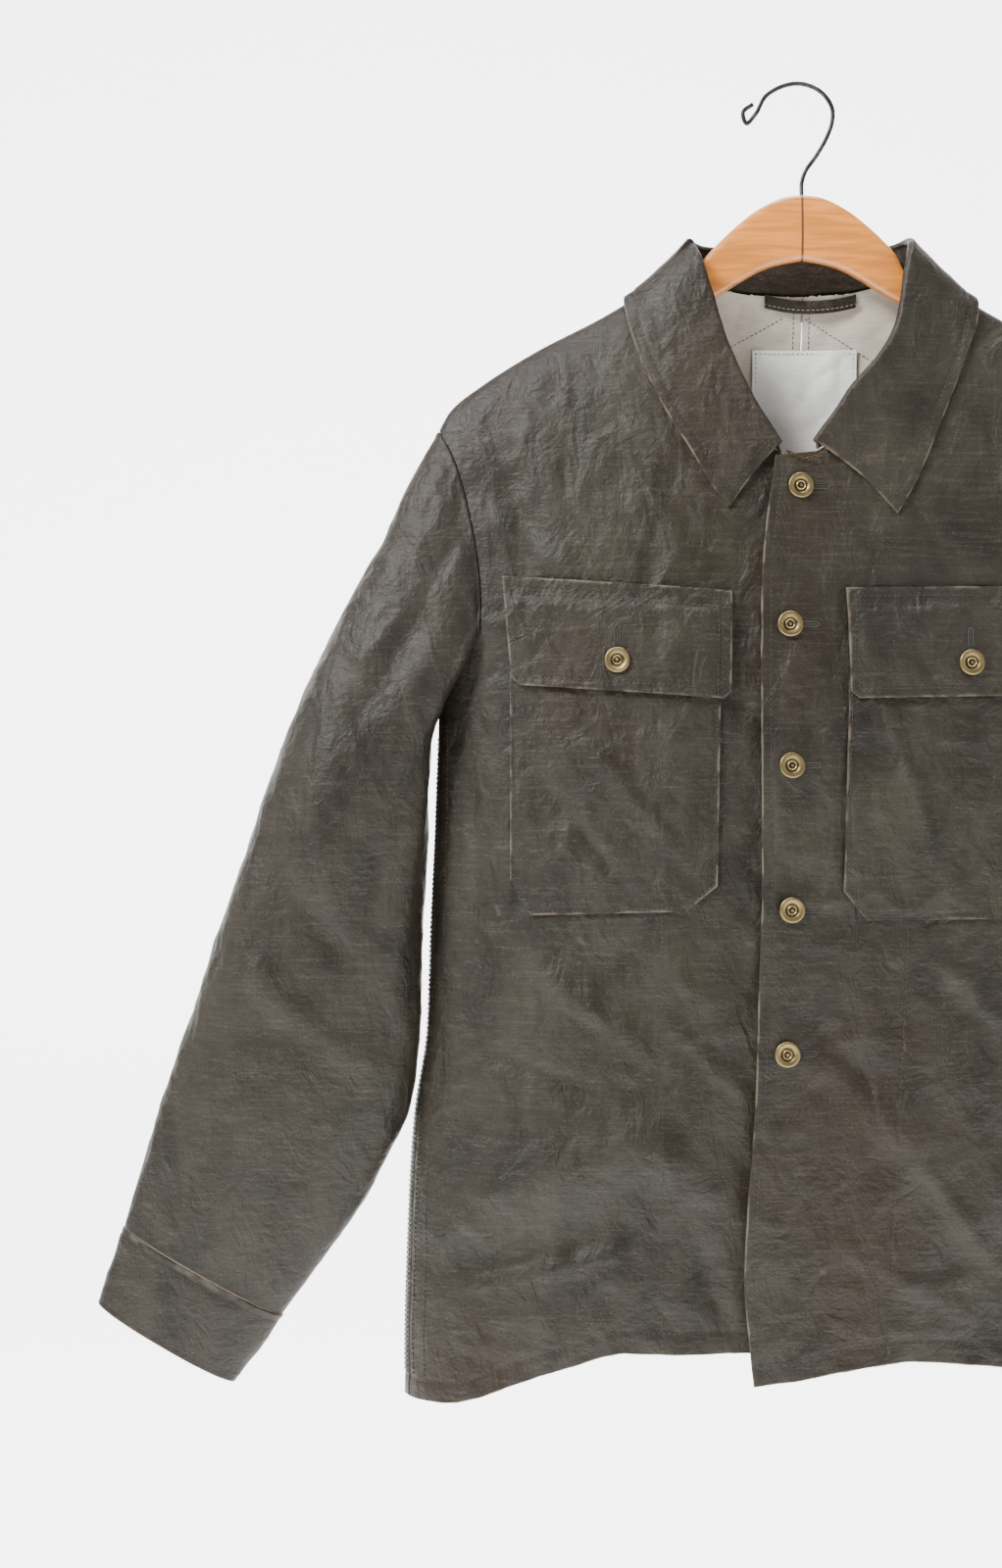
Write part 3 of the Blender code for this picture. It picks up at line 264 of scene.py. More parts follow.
BACK_FOLDS = (
    Fold(-0.200, -0.270, -0.120, -0.400, 0.020, -0.0045),
    Fold(0.195, -0.265, 0.110, -0.380, 0.020, -0.0045),
    Fold(-0.070, -0.400, -0.110, -0.800, 0.028, 0.0060),
    Fold(0.060, -0.450, 0.105, -0.820, 0.028, 0.0060),
    Fold(-0.225, -0.470, -0.150, -0.640, 0.022, -0.0050),
    Fold(0.225, -0.480, 0.160, -0.680, 0.022, -0.0050),
    Fold(-0.220, -0.700, -0.150, -0.850, 0.022, 0.0045),
    Fold(0.215, -0.720, 0.170, -0.860, 0.022, 0.0045),
)
SLEEVE_FOLDS = (
    SleeveFold(60, 0.06, 85, 0.42, 0.012, -0.0040),
    SleeveFold(100, 0.10, 62, 0.58, 0.014, 0.0040),
    SleeveFold(118, 0.40, 75, 0.84, 0.013, -0.0040),
    SleeveFold(150, 0.16, 128, 0.66, 0.013, 0.0050),
    SleeveFold(30, 0.56, 110, 0.63, 0.011, -0.0035),
    SleeveFold(45, 0.68, 135, 0.74, 0.012, 0.0030),
    SleeveFold(300, 0.08, 275, 0.50, 0.014, -0.0045),
    SleeveFold(255, 0.20, 290, 0.66, 0.014, 0.0045),
    SleeveFold(235, 0.50, 300, 0.60, 0.012, -0.0035),
    SleeveFold(240, 0.64, 285, 0.90, 0.013, 0.0035),
)

# Outlines seen from the front, clockwise from the top left
POCKETS = {
    "right": ((-0.2000, -0.372), (-0.0590, -0.372), (-0.0630, -0.5505), (-0.0840, -0.5670),
              (-0.1860, -0.5706), (-0.2000, -0.5507)),
    "left": ((0.0258, -0.372), (0.1740, -0.372), (0.1740, -0.5520), (0.1580, -0.5720),
             (0.0348, -0.5730), (0.0194, -0.5540)),
}
FLAPS = {
    "right": ((-0.2054, -0.3426), (-0.0521, -0.3542), (-0.0536, -0.4219), (-0.0585, -0.4263),
              (-0.1940, -0.4166), (-0.1995, -0.4108)),
    "left": ((0.0226, -0.3527), (0.1850, -0.3500), (0.1830, -0.4190), (0.1780, -0.4235),
             (0.0300, -0.4265), (0.0245, -0.4220)),
}

FRONT_BUTTONS = table(
    "x z",
    (-0.0067, -0.2843),
    (-0.0147, -0.3771),
    (-0.0145, -0.4708),
    (-0.0151, -0.5658),
    (-0.0185, -0.6603),
)
POCKET_BUTTONS = {"right": (-0.1288, -0.4007), "left": (0.1050, -0.4026)}

CHAIN = table(
    "x z out",
    (-0.0150, -0.2615, 0.0015),
    (-0.0090, -0.2650, 0.0015),
    (-0.0020, -0.2665, 0.0022),
    (0.0040, -0.2655, 0.0060),
    (0.0085, -0.2625, 0.0100),
)

CROWN = table(
    "x z",
    (0.0000, -0.0756),
    (0.0105, -0.0768),
    (0.0190, -0.0797),
    (0.0320, -0.0868),
    (0.0490, -0.1005),
    (0.0635, -0.1150),
    (0.0715, -0.1240),
)
BAR_UNDER = table(
    "x z",
    (0.000, -0.1210),
    (0.020, -0.1250),
    (0.070, -0.1525),
    (0.120, -0.1755),
    (0.170, -0.2000),
    (0.200, -0.2160),
    (0.215, -0.2205),
)
HOOK = table(
    "x z",
    (-0.0318, -0.0125),
    (-0.0385, -0.0180),
    (-0.0362, -0.0258),
    (-0.0300, -0.0195),
    (-0.0229, -0.0070),
    (-0.0134, -0.0009),
    (-0.0010, 0.0018),
    (0.0092, -0.0004),
    (0.0184, -0.0070),
    (0.0232, -0.0158),
    (0.0232, -0.0240),
    (0.0198, -0.0345),
    (0.0116, -0.0491),
    (0.0042, -0.0599),
    (0.0020, -0.0674),
    (0.0020, -0.0752),
)

FINE_GAIN = 2.1
FINE_FRONT_FOLDS = (
    Fold(-0.215, -0.300, -0.150, -0.345, 0.006, 0.0016),
    Fold(-0.120, -0.310, -0.100, -0.350, 0.006, -0.0014),
    Fold(-0.240, -0.360, -0.205, -0.380, 0.005, 0.0014),
    Fold(-0.150, -0.455, -0.095, -0.520, 0.006, 0.0013),
    Fold(-0.180, -0.480, -0.120, -0.555, 0.005, -0.0012),
    Fold(-0.190, -0.600, -0.110, -0.660, 0.007, 0.0018),
    Fold(-0.225, -0.660, -0.140, -0.690, 0.006, -0.0016),
    Fold(-0.095, -0.640, -0.045, -0.690, 0.005, 0.0015),
    Fold(-0.230, -0.820, -0.120, -0.790, 0.006, 0.0016),
    Fold(-0.180, -0.850, -0.160, -0.740, 0.007, 0.0014),
    Fold(-0.080, -0.780, -0.055, -0.850, 0.007, -0.0018),
    Fold(0.045, -0.420, 0.085, -0.545, 0.006, 0.0013),
    Fold(0.130, -0.440, 0.095, -0.550, 0.006, -0.0012),
    Fold(0.010, -0.450, 0.014, -0.560, 0.005, 0.0014),
    Fold(0.075, -0.590, 0.125, -0.640, 0.007, 0.0018),
    Fold(0.000, -0.640, 0.055, -0.700, 0.006, -0.0016),
    Fold(0.060, -0.720, 0.120, -0.800, 0.006, 0.0016),
    Fold(0.020, -0.790, 0.100, -0.830, 0.007, 0.0015),
    Fold(0.150, -0.300, 0.215, -0.345, 0.006, 0.0015),
    Fold(0.170, -0.640, 0.235, -0.690, 0.006, 0.0016),
)
FINE_SLEEVE_FOLDS = (
    SleeveFold(70, 0.10, 52, 0.34, 0.006, 0.0016),
    SleeveFold(88, 0.16, 70, 0.40, 0.006, -0.0016),
    SleeveFold(110, 0.22, 96, 0.52, 0.007, 0.0018),
    SleeveFold(132, 0.28, 112, 0.56, 0.006, -0.0015),
    SleeveFold(60, 0.46, 92, 0.58, 0.006, 0.0016),
    SleeveFold(80, 0.58, 120, 0.66, 0.006, -0.0018),
    SleeveFold(66, 0.66, 86, 0.90, 0.007, 0.0018),
    SleeveFold(98, 0.70, 106, 0.94, 0.006, -0.0016),
    SleeveFold(122, 0.72, 116, 0.92, 0.006, 0.0014),
    SleeveFold(250, 0.30, 272, 0.52, 0.007, 0.0018),
    SleeveFold(290, 0.56, 262, 0.78, 0.006, -0.0016),
)


class Side(Enum):
    """Which half of the jacket, as the wearer names it."""

    RIGHT = -1
    LEFT = 1

    @property
    def word(self) -> str:
        """The side's name in a node."""
        return self.name.lower()


class Layer(Enum):
    """What a panel lies on: over the other front, under it, or the back."""

    TOP = "top"
    UNDER = "under"
    BACK = "back"


def smooth(at: Grid | float, knots: Grid, values: Grid) -> Grid:
    """Cubic curve through a table's values that never swings past them.

    Args:
        at: Where the curve is wanted.
        knots: The table's stations, rising.
        values: The table's values there.

    Returns:
        The curve's values.
    """
    at = np.clip(np.asarray(at, float), knots[0], knots[-1])
    step = np.diff(knots)
    rise = np.diff(values) / step
    both = rise[:-1] + rise[1:]
    product = rise[:-1] * rise[1:]
    slope = np.empty(len(knots))
    slope[0], slope[-1] = rise[0], rise[-1]
    slope[1:-1] = np.where(product > 0, 2 * product / np.where(both == 0, 1, both), 0)
    i = np.clip(np.searchsorted(knots, at, side="right") - 1, 0, len(step) - 1)
    t = (at - knots[i]) / step[i]
    start = (1 + 2 * t) * (1 - t) ** 2 * values[i] + t * (1 - t) ** 2 * step[i] * slope[i]
    end = t * t * (3 - 2 * t) * values[i + 1] - t * t * (1 - t) * step[i] * slope[i + 1]
    return start + end


def ease(value: Grid | float) -> Grid:
    """0 to 1 with level ends."""
    t = np.clip(value, 0, 1)
    return t * t * (3 - 2 * t)


def unit(vectors: Grid) -> Grid:
    """The same directions at length one."""
    return vectors / np.maximum(np.linalg.norm(vectors, axis=-1, keepdims=True), 1e-12)


def bell(value: Grid | float, width: float) -> Grid:
    """A soft bump of height one."""
    return np.exp(-((np.asarray(value) / width) ** 2))


def grid_normals(grid: Grid, closed: bool = False) -> Grid:
    """Unit normals of a grid of points, by the right-hand rule from columns to rows."""
    across = np.roll(grid, -1, 1) - np.roll(grid, 1, 1) if closed else np.gradient(grid, axis=1)
    return unit(np.cross(across, np.gradient(grid, axis=0)))


def crumple(points: Grid, size: float, seed: float) -> Grid:
    """Sharp little creases between flatter facets, about -1 to 1.

    Args:
        points: Places in metres.
        size: Distance between creases in metres.
        seed: Moves the pattern, so that two pieces differ.

    Returns:
        One value for each point.
    """
    flat = points.reshape(-1, 3) / size + seed
    warp = [noise.noise_vector(Vector(p) * 0.6) for p in flat]
    value = [1 - 2 * abs(noise.noise(Vector(p) + w * 0.7)) ** 0.8 for p, w in zip(flat, warp)]
    return np.array(value).reshape(points.shape[:-1])


@dataclass(frozen=True)
class BodyForm:
    """The flattened tube under the shoulder line that carries every panel."""

    power: float = 2.2
    front_depth: float = 0.065
    back_depth: float = 0.050
    front_reach: float = 0.32
    back_reach: float = 0.25
    seam_hem: float = math.radians(80)
    seam_armpit: float = math.radians(88)
    seam_angle: float = 0.003
    lap_lift: float = 0.0032
    lap_width: float = 0.06
    under_sink: float = 0.006
    under_sink_from: float = -0.095
    crumple_size: float = 0.034
    crumple_height: float = 0.0007

    def ridge(self, x: Grid | float) -> Grid:
        """Height of the shoulder line."""
        return smooth(np.abs(x), RIDGE["x"], RIDGE["z"])

    def half_width(self, z: Grid | float) -> Grid:
        """Half the body's width at a height."""
        return smooth(z, SIDE["z"], SIDE["half"])

    def depth(self, drop: Grid | float, front: Grid | bool) -> Grid:
        """How far the cloth stands out at a drop below the shoulder line."""
        most = np.where(front, self.front_depth, self.back_depth)
        reach = np.where(front, self.front_reach, self.back_reach)
        return most * np.sqrt(1 - np.exp(-np.maximum(drop, 0) / reach))

    def bare(self, angle: Grid, z: Grid) -> Grid:
        """Points of the plain form at angles round from the centre front.

        Args:
            angle: Angles round.
            z: Heights.

        Returns:
            The points.
        """
        sine = np.abs(np.sin(angle)) ** (2 / self.power)
        cosine = np.abs(np.cos(angle)) ** (2 / self.power)
        x = np.sign(np.sin(angle)) * self.half_width(z) * sine
        front = np.cos(angle) > 0
        y = np.where(front, -1, 1) * self.depth(self.ridge(x) - z, front) * cosine
        return np.stack(np.broadcast_arrays(x, y, z), -1)

    def angle_at(self, x: Grid | float, z: Grid | float, front: bool = True) -> Grid:
        """The angle round the form at a place in the front view."""
        share = np.clip(np.abs(x) / self.half_width(z), 0, 1) ** (self.power / 2)
        angle = np.arcsin(share)
        return np.sign(x) * (angle if front else math.pi - angle)

    def outward(self, angle: Grid, z: Grid) -> Grid:
        """Unit normals of the plain form, away from the inside of the jacket.

        Args:
            angle: Angles round.
            z: Heights.

        Returns:
            The normals.
        """
        turn, rise = 1e-4, 1e-5
        z = np.minimum(z, self.ridge(self.bare(angle, z)[..., 0]) - 5e-4)
        across = self.bare(angle + turn, z) - self.bare(angle - turn, z)
        along = self.bare(angle, z + rise) - self.bare(angle, z - rise)
        return unit(np.cross(across, along))

    def height(self, angle: Grid, z: Grid, layer: Layer, fine: bool = True) -> Grid:
        """How far the cloth lies proud of the plain form.

        Args:
            angle: Angles round the form.
            z: Heights.
            layer: What the panel lies on.
            fine: Whether the small creases are wanted.

        Returns:
            Heights in metres.
        """
        point = self.bare(angle, z)
        x = point[..., 0]
        front = np.cos(angle) > 0
        folds = np.where(front, line_folds(x, z, FRONT_FOLDS), line_folds(x, z, BACK_FOLDS))
        if fine:
            small = np.where(front, FINE_GAIN * line_folds(x, z, FINE_FRONT_FOLDS), 0)
            near = crumple(point, self.crumple_size, 3.1)
            near = near + 0.5 * crumple(point, self.crumple_size / 2.3, 7.7)
            uneven = 0.45 + 0.55 * ease(0.5 + crumple(point, 0.16, 1.3))
            folds = folds + small + FINE_GAIN * self.crumple_height * near * uneven
        total = folds * ease(np.abs(np.cos(angle)) / 0.5) * ease((self.ridge(x) - z) / 0.05)
        if layer is Layer.TOP:
            total = total + self.lap_lift * (1 - ease((x - self.lap_edge(z)) / self.lap_width))
        if layer is Layer.UNDER:
            total = total - self.under_sink * ease((x - self.under_sink_from) / self.lap_width)
        return total

    def lap_edge(self, z: Grid | float) -> Grid:
        """The closure's edge in the front view."""
        return smooth(z, LAP_EDGE["z"], LAP_EDGE["x"])

    def cloth(self, angle: Grid, z: Grid, layer: Layer, fine: bool = True) -> Grid:
        """Points of the cloth's outside."""
        lift = self.height(angle, z, layer, fine)
        return self.bare(angle, z) + self.outward(angle, z) * lift[..., None]

    def at(self, x: Grid | float, w: Grid | float) -> Grid:
        """Point by its place across and its signed root drop, below 0 in front.

        Args:
            x: Places across.
            w: Signed roots of the drop below the ridge.

        Returns:
            The points.
        """
        z = self.ridge(x) - w * w
        share = np.clip(np.abs(x) / self.half_width(z), 0, 1) ** self.power
        y = np.sign(w) * self.depth(w * w, w < 0) * (1 - share) ** (1 / self.power)
        return np.stack(np.broadcast_arrays(x, y, z), -1)

    def lifted(self, foot: Grid, lift: Grid | float, layer: Layer) -> Grid:
        """Points at a height over the cloth under them.

        Args:
            foot: Places across and signed root drops.
            lift: Heights over the cloth.
            layer: The cloth under them.

        Returns:
            The points.
        """
        x, w = foot[..., 0], foot[..., 1]
        step = 1e-4
        across = self.at(x + step, w) - self.at(x - step, w)
        along = self.at(x, w + step) - self.at(x, w - step)
        z = self.ridge(x) - w * w
        own = np.empty(z.shape)
        for front in (True, False):
            own = np.where((w < 0) == front, self.height(self.angle_at(x, z, front), z, layer, False), own)
        return self.at(x, w) + unit(np.cross(across, along)) * (lift + own)[..., None]


def line_folds(x: Grid, z: Grid, folds: Iterable[Fold]) -> Grid:
    """Soft ridges and troughs along straight lines, dying away at their ends.

    Args:
        x: Places across.
        z: Places up.
        folds: The folds.

    Returns:
        Their height at each place.
    """
    total = np.zeros(np.broadcast(x, z).shape)
    for fold in folds:
        run_x, run_z = fold.x1 - fold.x0, fold.z1 - fold.z0
        length = math.hypot(run_x, run_z)
        share = ((x - fold.x0) * run_x + (z - fold.z0) * run_z) / length**2
        off = ((x - fold.x0) * run_z - (z - fold.z0) * run_x) / length
        total += fold.height * bell(off, fold.width) * np.exp(-((np.abs(share - 0.5) / 0.5) ** 3))
    return total


FORM = BodyForm()


class Value:
    """A shader socket that takes part in Python arithmetic."""

    def __init__(self, tree: bpy.types.NodeTree, socket: bpy.types.NodeSocket) -> None:
        """Wraps a socket of a tree."""
        self.tree = tree
        self.socket = socket

    def maths(self, operation: str, first: "Value | float", second: "Value | float") -> "Value":
        """Adds one Math node and returns its result.

        Args:
            operation: The node's operation.
            first: Its first input.
            second: Its second input.

        Returns:
            The result.
        """
        node = self.tree.nodes.new("ShaderNodeMath")
        node.operation = operation
        for socket, value in zip(node.inputs, (first, second)):
            if isinstance(value, Value):
                self.tree.links.new(value.socket, socket)
            else:
                socket.default_value = value
        return Value(self.tree, node.outputs[0])

    def __add__(self, other: "Value | float") -> "Value":
        """Sum."""
        return self.maths("ADD", self, other)

    def __sub__(self, other: "Value | float") -> "Value":
        """Difference."""
        return self.maths("SUBTRACT", self, other)

    def __rsub__(self, other: float) -> "Value":
        """A number less this value."""
        return self.maths("SUBTRACT", other, self)

    def __mul__(self, other: "Value | float") -> "Value":
        """Product."""
        return self.maths("MULTIPLY", self, other)

    def __pow__(self, other: float) -> "Value":
        """Power."""
        return self.maths("POWER", self, other)

    __radd__ = __add__
    __rmul__ = __mul__


class Dye:
    """One material's node tree, with the few nodes that every finish here shares."""

    def __init__(self, name: str) -> None:
        """Starts a material with its Principled shader.

        Args:
            name: The material's name.
        """
        self.material = bpy.data.materials.new(name)
        self.material.use_nodes = True
        self.tree = self.material.node_tree
        self.shader = self.tree.nodes["Principled BSDF"]
        self.place = self.node("ShaderNodeTexCoord", output="Object")

    def node(self, kind: str, output: str | int = 0, settings: dict | None = None, **inputs) -> Value:
        """Adds any node.

        Args:
            kind: The node's type.
            output: The output that is wanted.
            settings: Properties that are set first.
            **inputs: Values or links by socket name, spaces as underscores.

        Returns:
            The wanted output.
        """
        node = self.tree.nodes.new(kind)
        for key, value in (settings or {}).items():
            setattr(node, key, value)
        for key, value in inputs.items():
            socket = next(s for s in node.inputs if s.enabled and s.name.replace(" ", "_") == key)
            if isinstance(value, Value):
                self.tree.links.new(value.socket, socket)
            else:
                socket.default_value = value
        return Value(self.tree, node.outputs[output])

    def scaled(self, scale: Colour, turn: float = 0.0) -> Value:
        """Object coordinates stretched along the axes and turned about Y."""
        return self.node("ShaderNodeMapping", Vector=self.place, Scale=scale, Rotation=(0, turn, 0))

    def noise(self, vector: Value, scale: float, detail: float = 3.0, distortion: float = 0.0) -> Value:
        """Cloudy noise, 0 to 1."""
        return self.node(
            "ShaderNodeTexNoise", Vector=vector, Scale=scale, Detail=detail, Distortion=distortion
        )

    def band(self, value: Value, low: float, high: float) -> Value:
        """0 below low, 1 above high, soft between.

        Args:
            value: The value.
            low: Where the rise starts.
            high: Where it ends.

        Returns:
            The risen value.
        """
        return self.node(
            "ShaderNodeMapRange", settings={"interpolation_type": "SMOOTHSTEP"},
            Value=value, From_Min=low, From_Max=high,
        )

    def mix(self, factor: Value, first: Value | Colour, second: Value | Colour) -> Value:
        """Blends two colours.

        Args:
            factor: Share of the second.
            first: First colour.
            second: Second colour.

        Returns:
            The blend.
        """
        node = self.tree.nodes.new("ShaderNodeMix")
        node.data_type = "RGBA"
        self.tree.links.new(factor.socket, node.inputs[0])
        for socket, value in zip((node.inputs[6], node.inputs[7]), (first, second)):
            if isinstance(value, Value):
                self.tree.links.new(value.socket, socket)
            else:
                socket.default_value = (*value, 1)
        return Value(self.tree, node.outputs[2])

    def attribute(self, name: str) -> Value:
        """A number kept on the mesh's points."""
        return self.node("ShaderNodeAttribute", output="Fac", settings={"attribute_name": name})

    def wear(self, colour: Value, roughness: Value | float, bumps: Sequence[tuple[Value, float]]) -> None:
        """Feeds the shader.

        Args:
            colour: The surface's colour.
            roughness: Its roughness.
            bumps: Heights from 0 to 1 with their depths in metres.
        """
        self.tree.links.new(colour.socket, self.shader.inputs["Base Color"])
        if isinstance(roughness, Value):
            self.tree.links.new(roughness.socket, self.shader.inputs["Roughness"])
        else:
            self.shader.inputs["Roughness"].default_value = roughness
        normal = None
        for height, depth in bumps:
            sockets = {"Height": height, "Distance": depth, "Strength": 1.0}
            if normal:
                sockets["Normal"] = normal
            normal = self.node("ShaderNodeBump", **sockets)
        if normal:
            self.tree.links.new(normal.socket, self.shader.inputs["Normal"])


@dataclass(frozen=True)
class WaxedCanvas:
    """Dark waxed cotton, patched in colour, pale where its edges have rubbed."""

    name: str = "waxed_canvas"
    dark: Colour = (0.0085, 0.0066, 0.0043)
    light: Colour = (0.0230, 0.0195, 0.0130)
    brown: Colour = (0.0170, 0.0085, 0.0038)
    violet: Colour = (0.0170, 0.0122, 0.0112)
    olive: Colour = (0.0130, 0.0120, 0.0055)
    rubbed: Colour = (0.120, 0.094, 0.070)
    thread_pitch: float = 0.00075

    def make(self) -> bpy.types.Material:
        """Builds the material."""
        dye = Dye(self.name)
        cloud = dye.noise(dye.scaled((1, 1, 0.7)), 24.0, 8.0, 0.6)
        blotch = dye.noise(dye.scaled((1, 1, 0.5), 0.4), 4.3, 3.0)
        tint = dye.noise(dye.scaled((1.2, 1, 1), -0.5), 3.1, 2.0)
        streak = dye.noise(dye.scaled((9, 9, 2.6), 0.3), 6.0, 7.0)
        slub = dye.noise(dye.scaled((1.5, 1.5, 30)), 24.0, 3.0)
        grain = dye.noise(dye.place, 900.0, 2.0)
        colour = dye.mix(dye.band(cloud * 0.7 + streak * 0.3, 0.30, 0.72), self.dark, self.light)
        colour = dye.mix(dye.band(blotch, 0.50, 0.68) * 0.55, colour, self.brown)
        colour = dye.mix(dye.band(tint, 0.52, 0.70) * 0.5, colour, self.violet)
        colour = dye.mix(dye.band(1 - tint, 0.56, 0.72) * 0.5, colour, self.olive)
        dusty = dye.band(slub * 0.5 + grain * 0.5, 0.50, 0.66) * 0.16
        colour = dye.mix(dusty, colour, self.rubbed)
        edge = dye.attribute("wear")
        patchy = dye.band(dye.noise(dye.place, 55.0, 4.0), 0.40, 0.62)
        colour = dye.mix(dye.band(edge * (0.35 + 0.65 * patchy), 0.25, 0.95) * 0.62, colour, self.rubbed)
        scuff = dye.band(dye.noise(dye.scaled((1, 1, 2.2), 0.7), 30.0, 6.0, 1.5), 0.66, 0.78) * 0.22
        colour = dye.mix(scuff, colour, self.rubbed)
        threads = dye.node(
            "ShaderNodeTexWave", settings={"bands_direction": "X"}, Vector=dye.place,
            Scale=1 / self.thread_pitch / 3.18, Distortion=0.6, Detail=1.0,
        )
        crossing = dye.node(
            "ShaderNodeTexWave", settings={"bands_direction": "Z"}, Vector=dye.place,
            Scale=1 / self.thread_pitch / 3.18, Distortion=0.6, Detail=1.0,
        )
        creases = dye.noise(dye.scaled((1, 1, 0.6), 0.5), 46.0, 5.0, 1.2)
        fine = dye.noise(dye.scaled((1, 1, 1.6), -0.6), 150.0, 4.0, 0.8)
        roughness = 0.32 + 0.22 * cloud + 0.10 * streak
        dye.wear(colour, roughness, ((threads * crossing, 0.00006), (creases, 0.0030), (fine, 0.0008)))
        dye.shader.inputs["Specular IOR Level"].default_value = 0.22
        dye.shader.inputs["Sheen Weight"].default_value = 0.0
        dye.shader.inputs["Sheen Roughness"].default_value = 0.45
        dye.shader.inputs["Sheen Tint"].default_value = (0.75, 0.74, 0.78, 1)
        return dye.material


@dataclass(frozen=True)
class PlainCloth:
    """Unwaxed woven cotton: the canvas inside, the label, or the sewing thread."""

    name: str
    main: Colour
    other: Colour
    roughness: float = 0.85
    thread_pitch: float = 0.0008

    def make(self) -> bpy.types.Material:
        """Builds the material."""
        dye = Dye(self.name)
        cloud = dye.noise(dye.place, 28.0, 4.0)
        slub = dye.noise(dye.scaled((3, 3, 40)), 30.0, 3.0)
        colour = dye.mix(dye.band(cloud * 0.6 + slub * 0.4, 0.38, 0.64), self.main, self.other)
        wave = dye.node(
            "ShaderNodeTexWave", settings={"bands_direction": "Z"}, Vector=dye.place,
            Scale=1 / self.thread_pitch / 3.18, Distortion=0.8, Detail=1.0,
        )
        dye.wear(colour, self.roughness, ((wave, 0.00008), (cloud, 0.0006)))
        return dye.material


@dataclass(frozen=True)
class OldBrass:
    """Dull brass, browned in its recess and bright on its rims."""

    name: str = "old_brass"
    bright: Colour = (0.19, 0.145, 0.066)
    brown: Colour = (0.060, 0.042, 0.020)

    def make(self) -> bpy.types.Material:
        """Builds the material."""
        dye = Dye(self.name)
        tarnish = dye.noise(dye.place, 260.0, 4.0)
        worn = dye.attribute("wear")
        colour = dye.mix(dye.band(worn + tarnish * 0.6, 0.35, 0.85), self.brown, self.bright)
        dye.wear(colour, 0.30 + 0.25 * tarnish, ((dye.noise(dye.place, 1400.0, 3.0), 0.00003),))
        dye.shader.inputs["Metallic"].default_value = 1.0
        return dye.material


@dataclass(frozen=True)
class VarnishedWood:
    """Orange-brown varnished beech with long grain along the shoulders."""

    name: str = "varnished_wood"
    pale: Colour = (0.60, 0.21, 0.028)
    deep: Colour = (0.42, 0.14, 0.020)
    joint: Colour = (0.10, 0.035, 0.012)
    joint_x: float = 0.002

    def make(self) -> bpy.types.Material:
        """Builds the material."""
        dye = Dye(self.name)
        grain = dye.noise(dye.scaled((3, 40, 40), 0.45), 6.0, 5.0, 0.6)
        pores = dye.noise(dye.scaled((12, 260, 260), 0.45), 6.0, 3.0)
        colour = dye.mix(dye.band(grain, 0.34, 0.68), self.deep, self.pale)
        colour = dye.mix(dye.band(pores, 0.60, 0.74) * 0.4, colour, self.deep)
        x = dye.node("ShaderNodeSeparateXYZ", output="X", Vector=dye.place)
        near = dye.band((x - self.joint_x) ** 2.0, 2.5e-7, 9e-7)
        colour = dye.mix(1 - near, colour, self.joint)
        dye.wear(colour, 0.22 + 0.18 * grain, ((grain, 0.0002), (near, 0.0004)))
        dye.shader.inputs["Coat Weight"].default_value = 0.5
        dye.shader.inputs["Coat Roughness"].default_value = 0.12
        return dye.material


@dataclass(frozen=True)
class DarkWire:
    """Blackened steel wire."""

    name: str = "dark_wire"
    black: Colour = (0.020, 0.020, 0.022)
    grey: Colour = (0.075, 0.073, 0.070)

    def make(self) -> bpy.types.Material:
        """Builds the material."""
        dye = Dye(self.name)
        rub = dye.noise(dye.place, 120.0, 4.0)
        colour = dye.mix(dye.band(rub, 0.45, 0.70), self.black, self.grey)
        dye.wear(colour, 0.32 + 0.2 * rub, ((rub, 0.0001),))
        dye.shader.inputs["Metallic"].default_value = 0.8
        return dye.material


@dataclass
class Wardrobe:
    """Every finish, made once."""

    outside: bpy.types.Material = field(default_factory=lambda: WaxedCanvas().make())
    inside: bpy.types.Material = field(default_factory=lambda: PlainCloth(
        "canvas_inside", (0.42, 0.365, 0.30), (0.53, 0.475, 0.40)).make())
    label: bpy.types.Material = field(default_factory=lambda: PlainCloth(
        "label_cotton", (0.74, 0.74, 0.72), (0.84, 0.84, 0.83)).make())
    thread: bpy.types.Material = field(default_factory=lambda: PlainCloth(
        "dark_thread", (0.012, 0.010, 0.009), (0.030, 0.026, 0.022), 0.7).make())
    pale_thread: bpy.types.Material = field(default_factory=lambda: PlainCloth(
        "pale_thread", (0.20, 0.17, 0.14), (0.30, 0.26, 0.21), 0.8).make())
    brass: bpy.types.Material = field(default_factory=lambda: OldBrass().make())
    wood: bpy.types.Material = field(default_factory=lambda: VarnishedWood().make())
    wire: bpy.types.Material = field(default_factory=lambda: DarkWire().make())


def finished(name: str, points: Grid, faces: Sequence, materials: Sequence, slots: Grid | None = None,
             wear: Grid | None = None) -> bpy.types.Object:
    """Makes a smooth piece from points and faces.

    Args:
        name: The piece's name.
        points: Its points, in metres.
        faces: Corner numbers of each face.
        materials: Its finishes.
        slots: The finish of each face, by number.
        wear: How rubbed each point is, 0 to 1.

    Returns:
        The new object.
    """
    data = bpy.data.meshes.new(name)
    data.from_pydata(points.tolist(), [], [list(map(int, face)) for face in faces])
    for material in materials:
        data.materials.append(material)
    if slots is not None:
        data.polygons.foreach_set("material_index", np.asarray(slots, np.int32))
    layer = data.attributes.new("wear", "FLOAT", "POINT")
    layer.data.foreach_set("value", np.zeros(len(points)) if wear is None else np.asarray(wear, float))
    data.shade_smooth()
    data.set_sharp_from_angle(angle=math.radians(50))
    data.update()
    piece = bpy.data.objects.new(name, data)
    bpy.context.scene.collection.objects.link(piece)
    return piece


def volume(points: Grid, faces: Grid) -> float:
    """Signed volume of a closed mesh of quads."""
    a, b, c, d = (points[faces[:, i]] for i in range(4))
    first = np.einsum("ij,ij->i", a, np.cross(b, c)).sum()
    return float(first + np.einsum("ij,ij->i", a, np.cross(c, d)).sum())


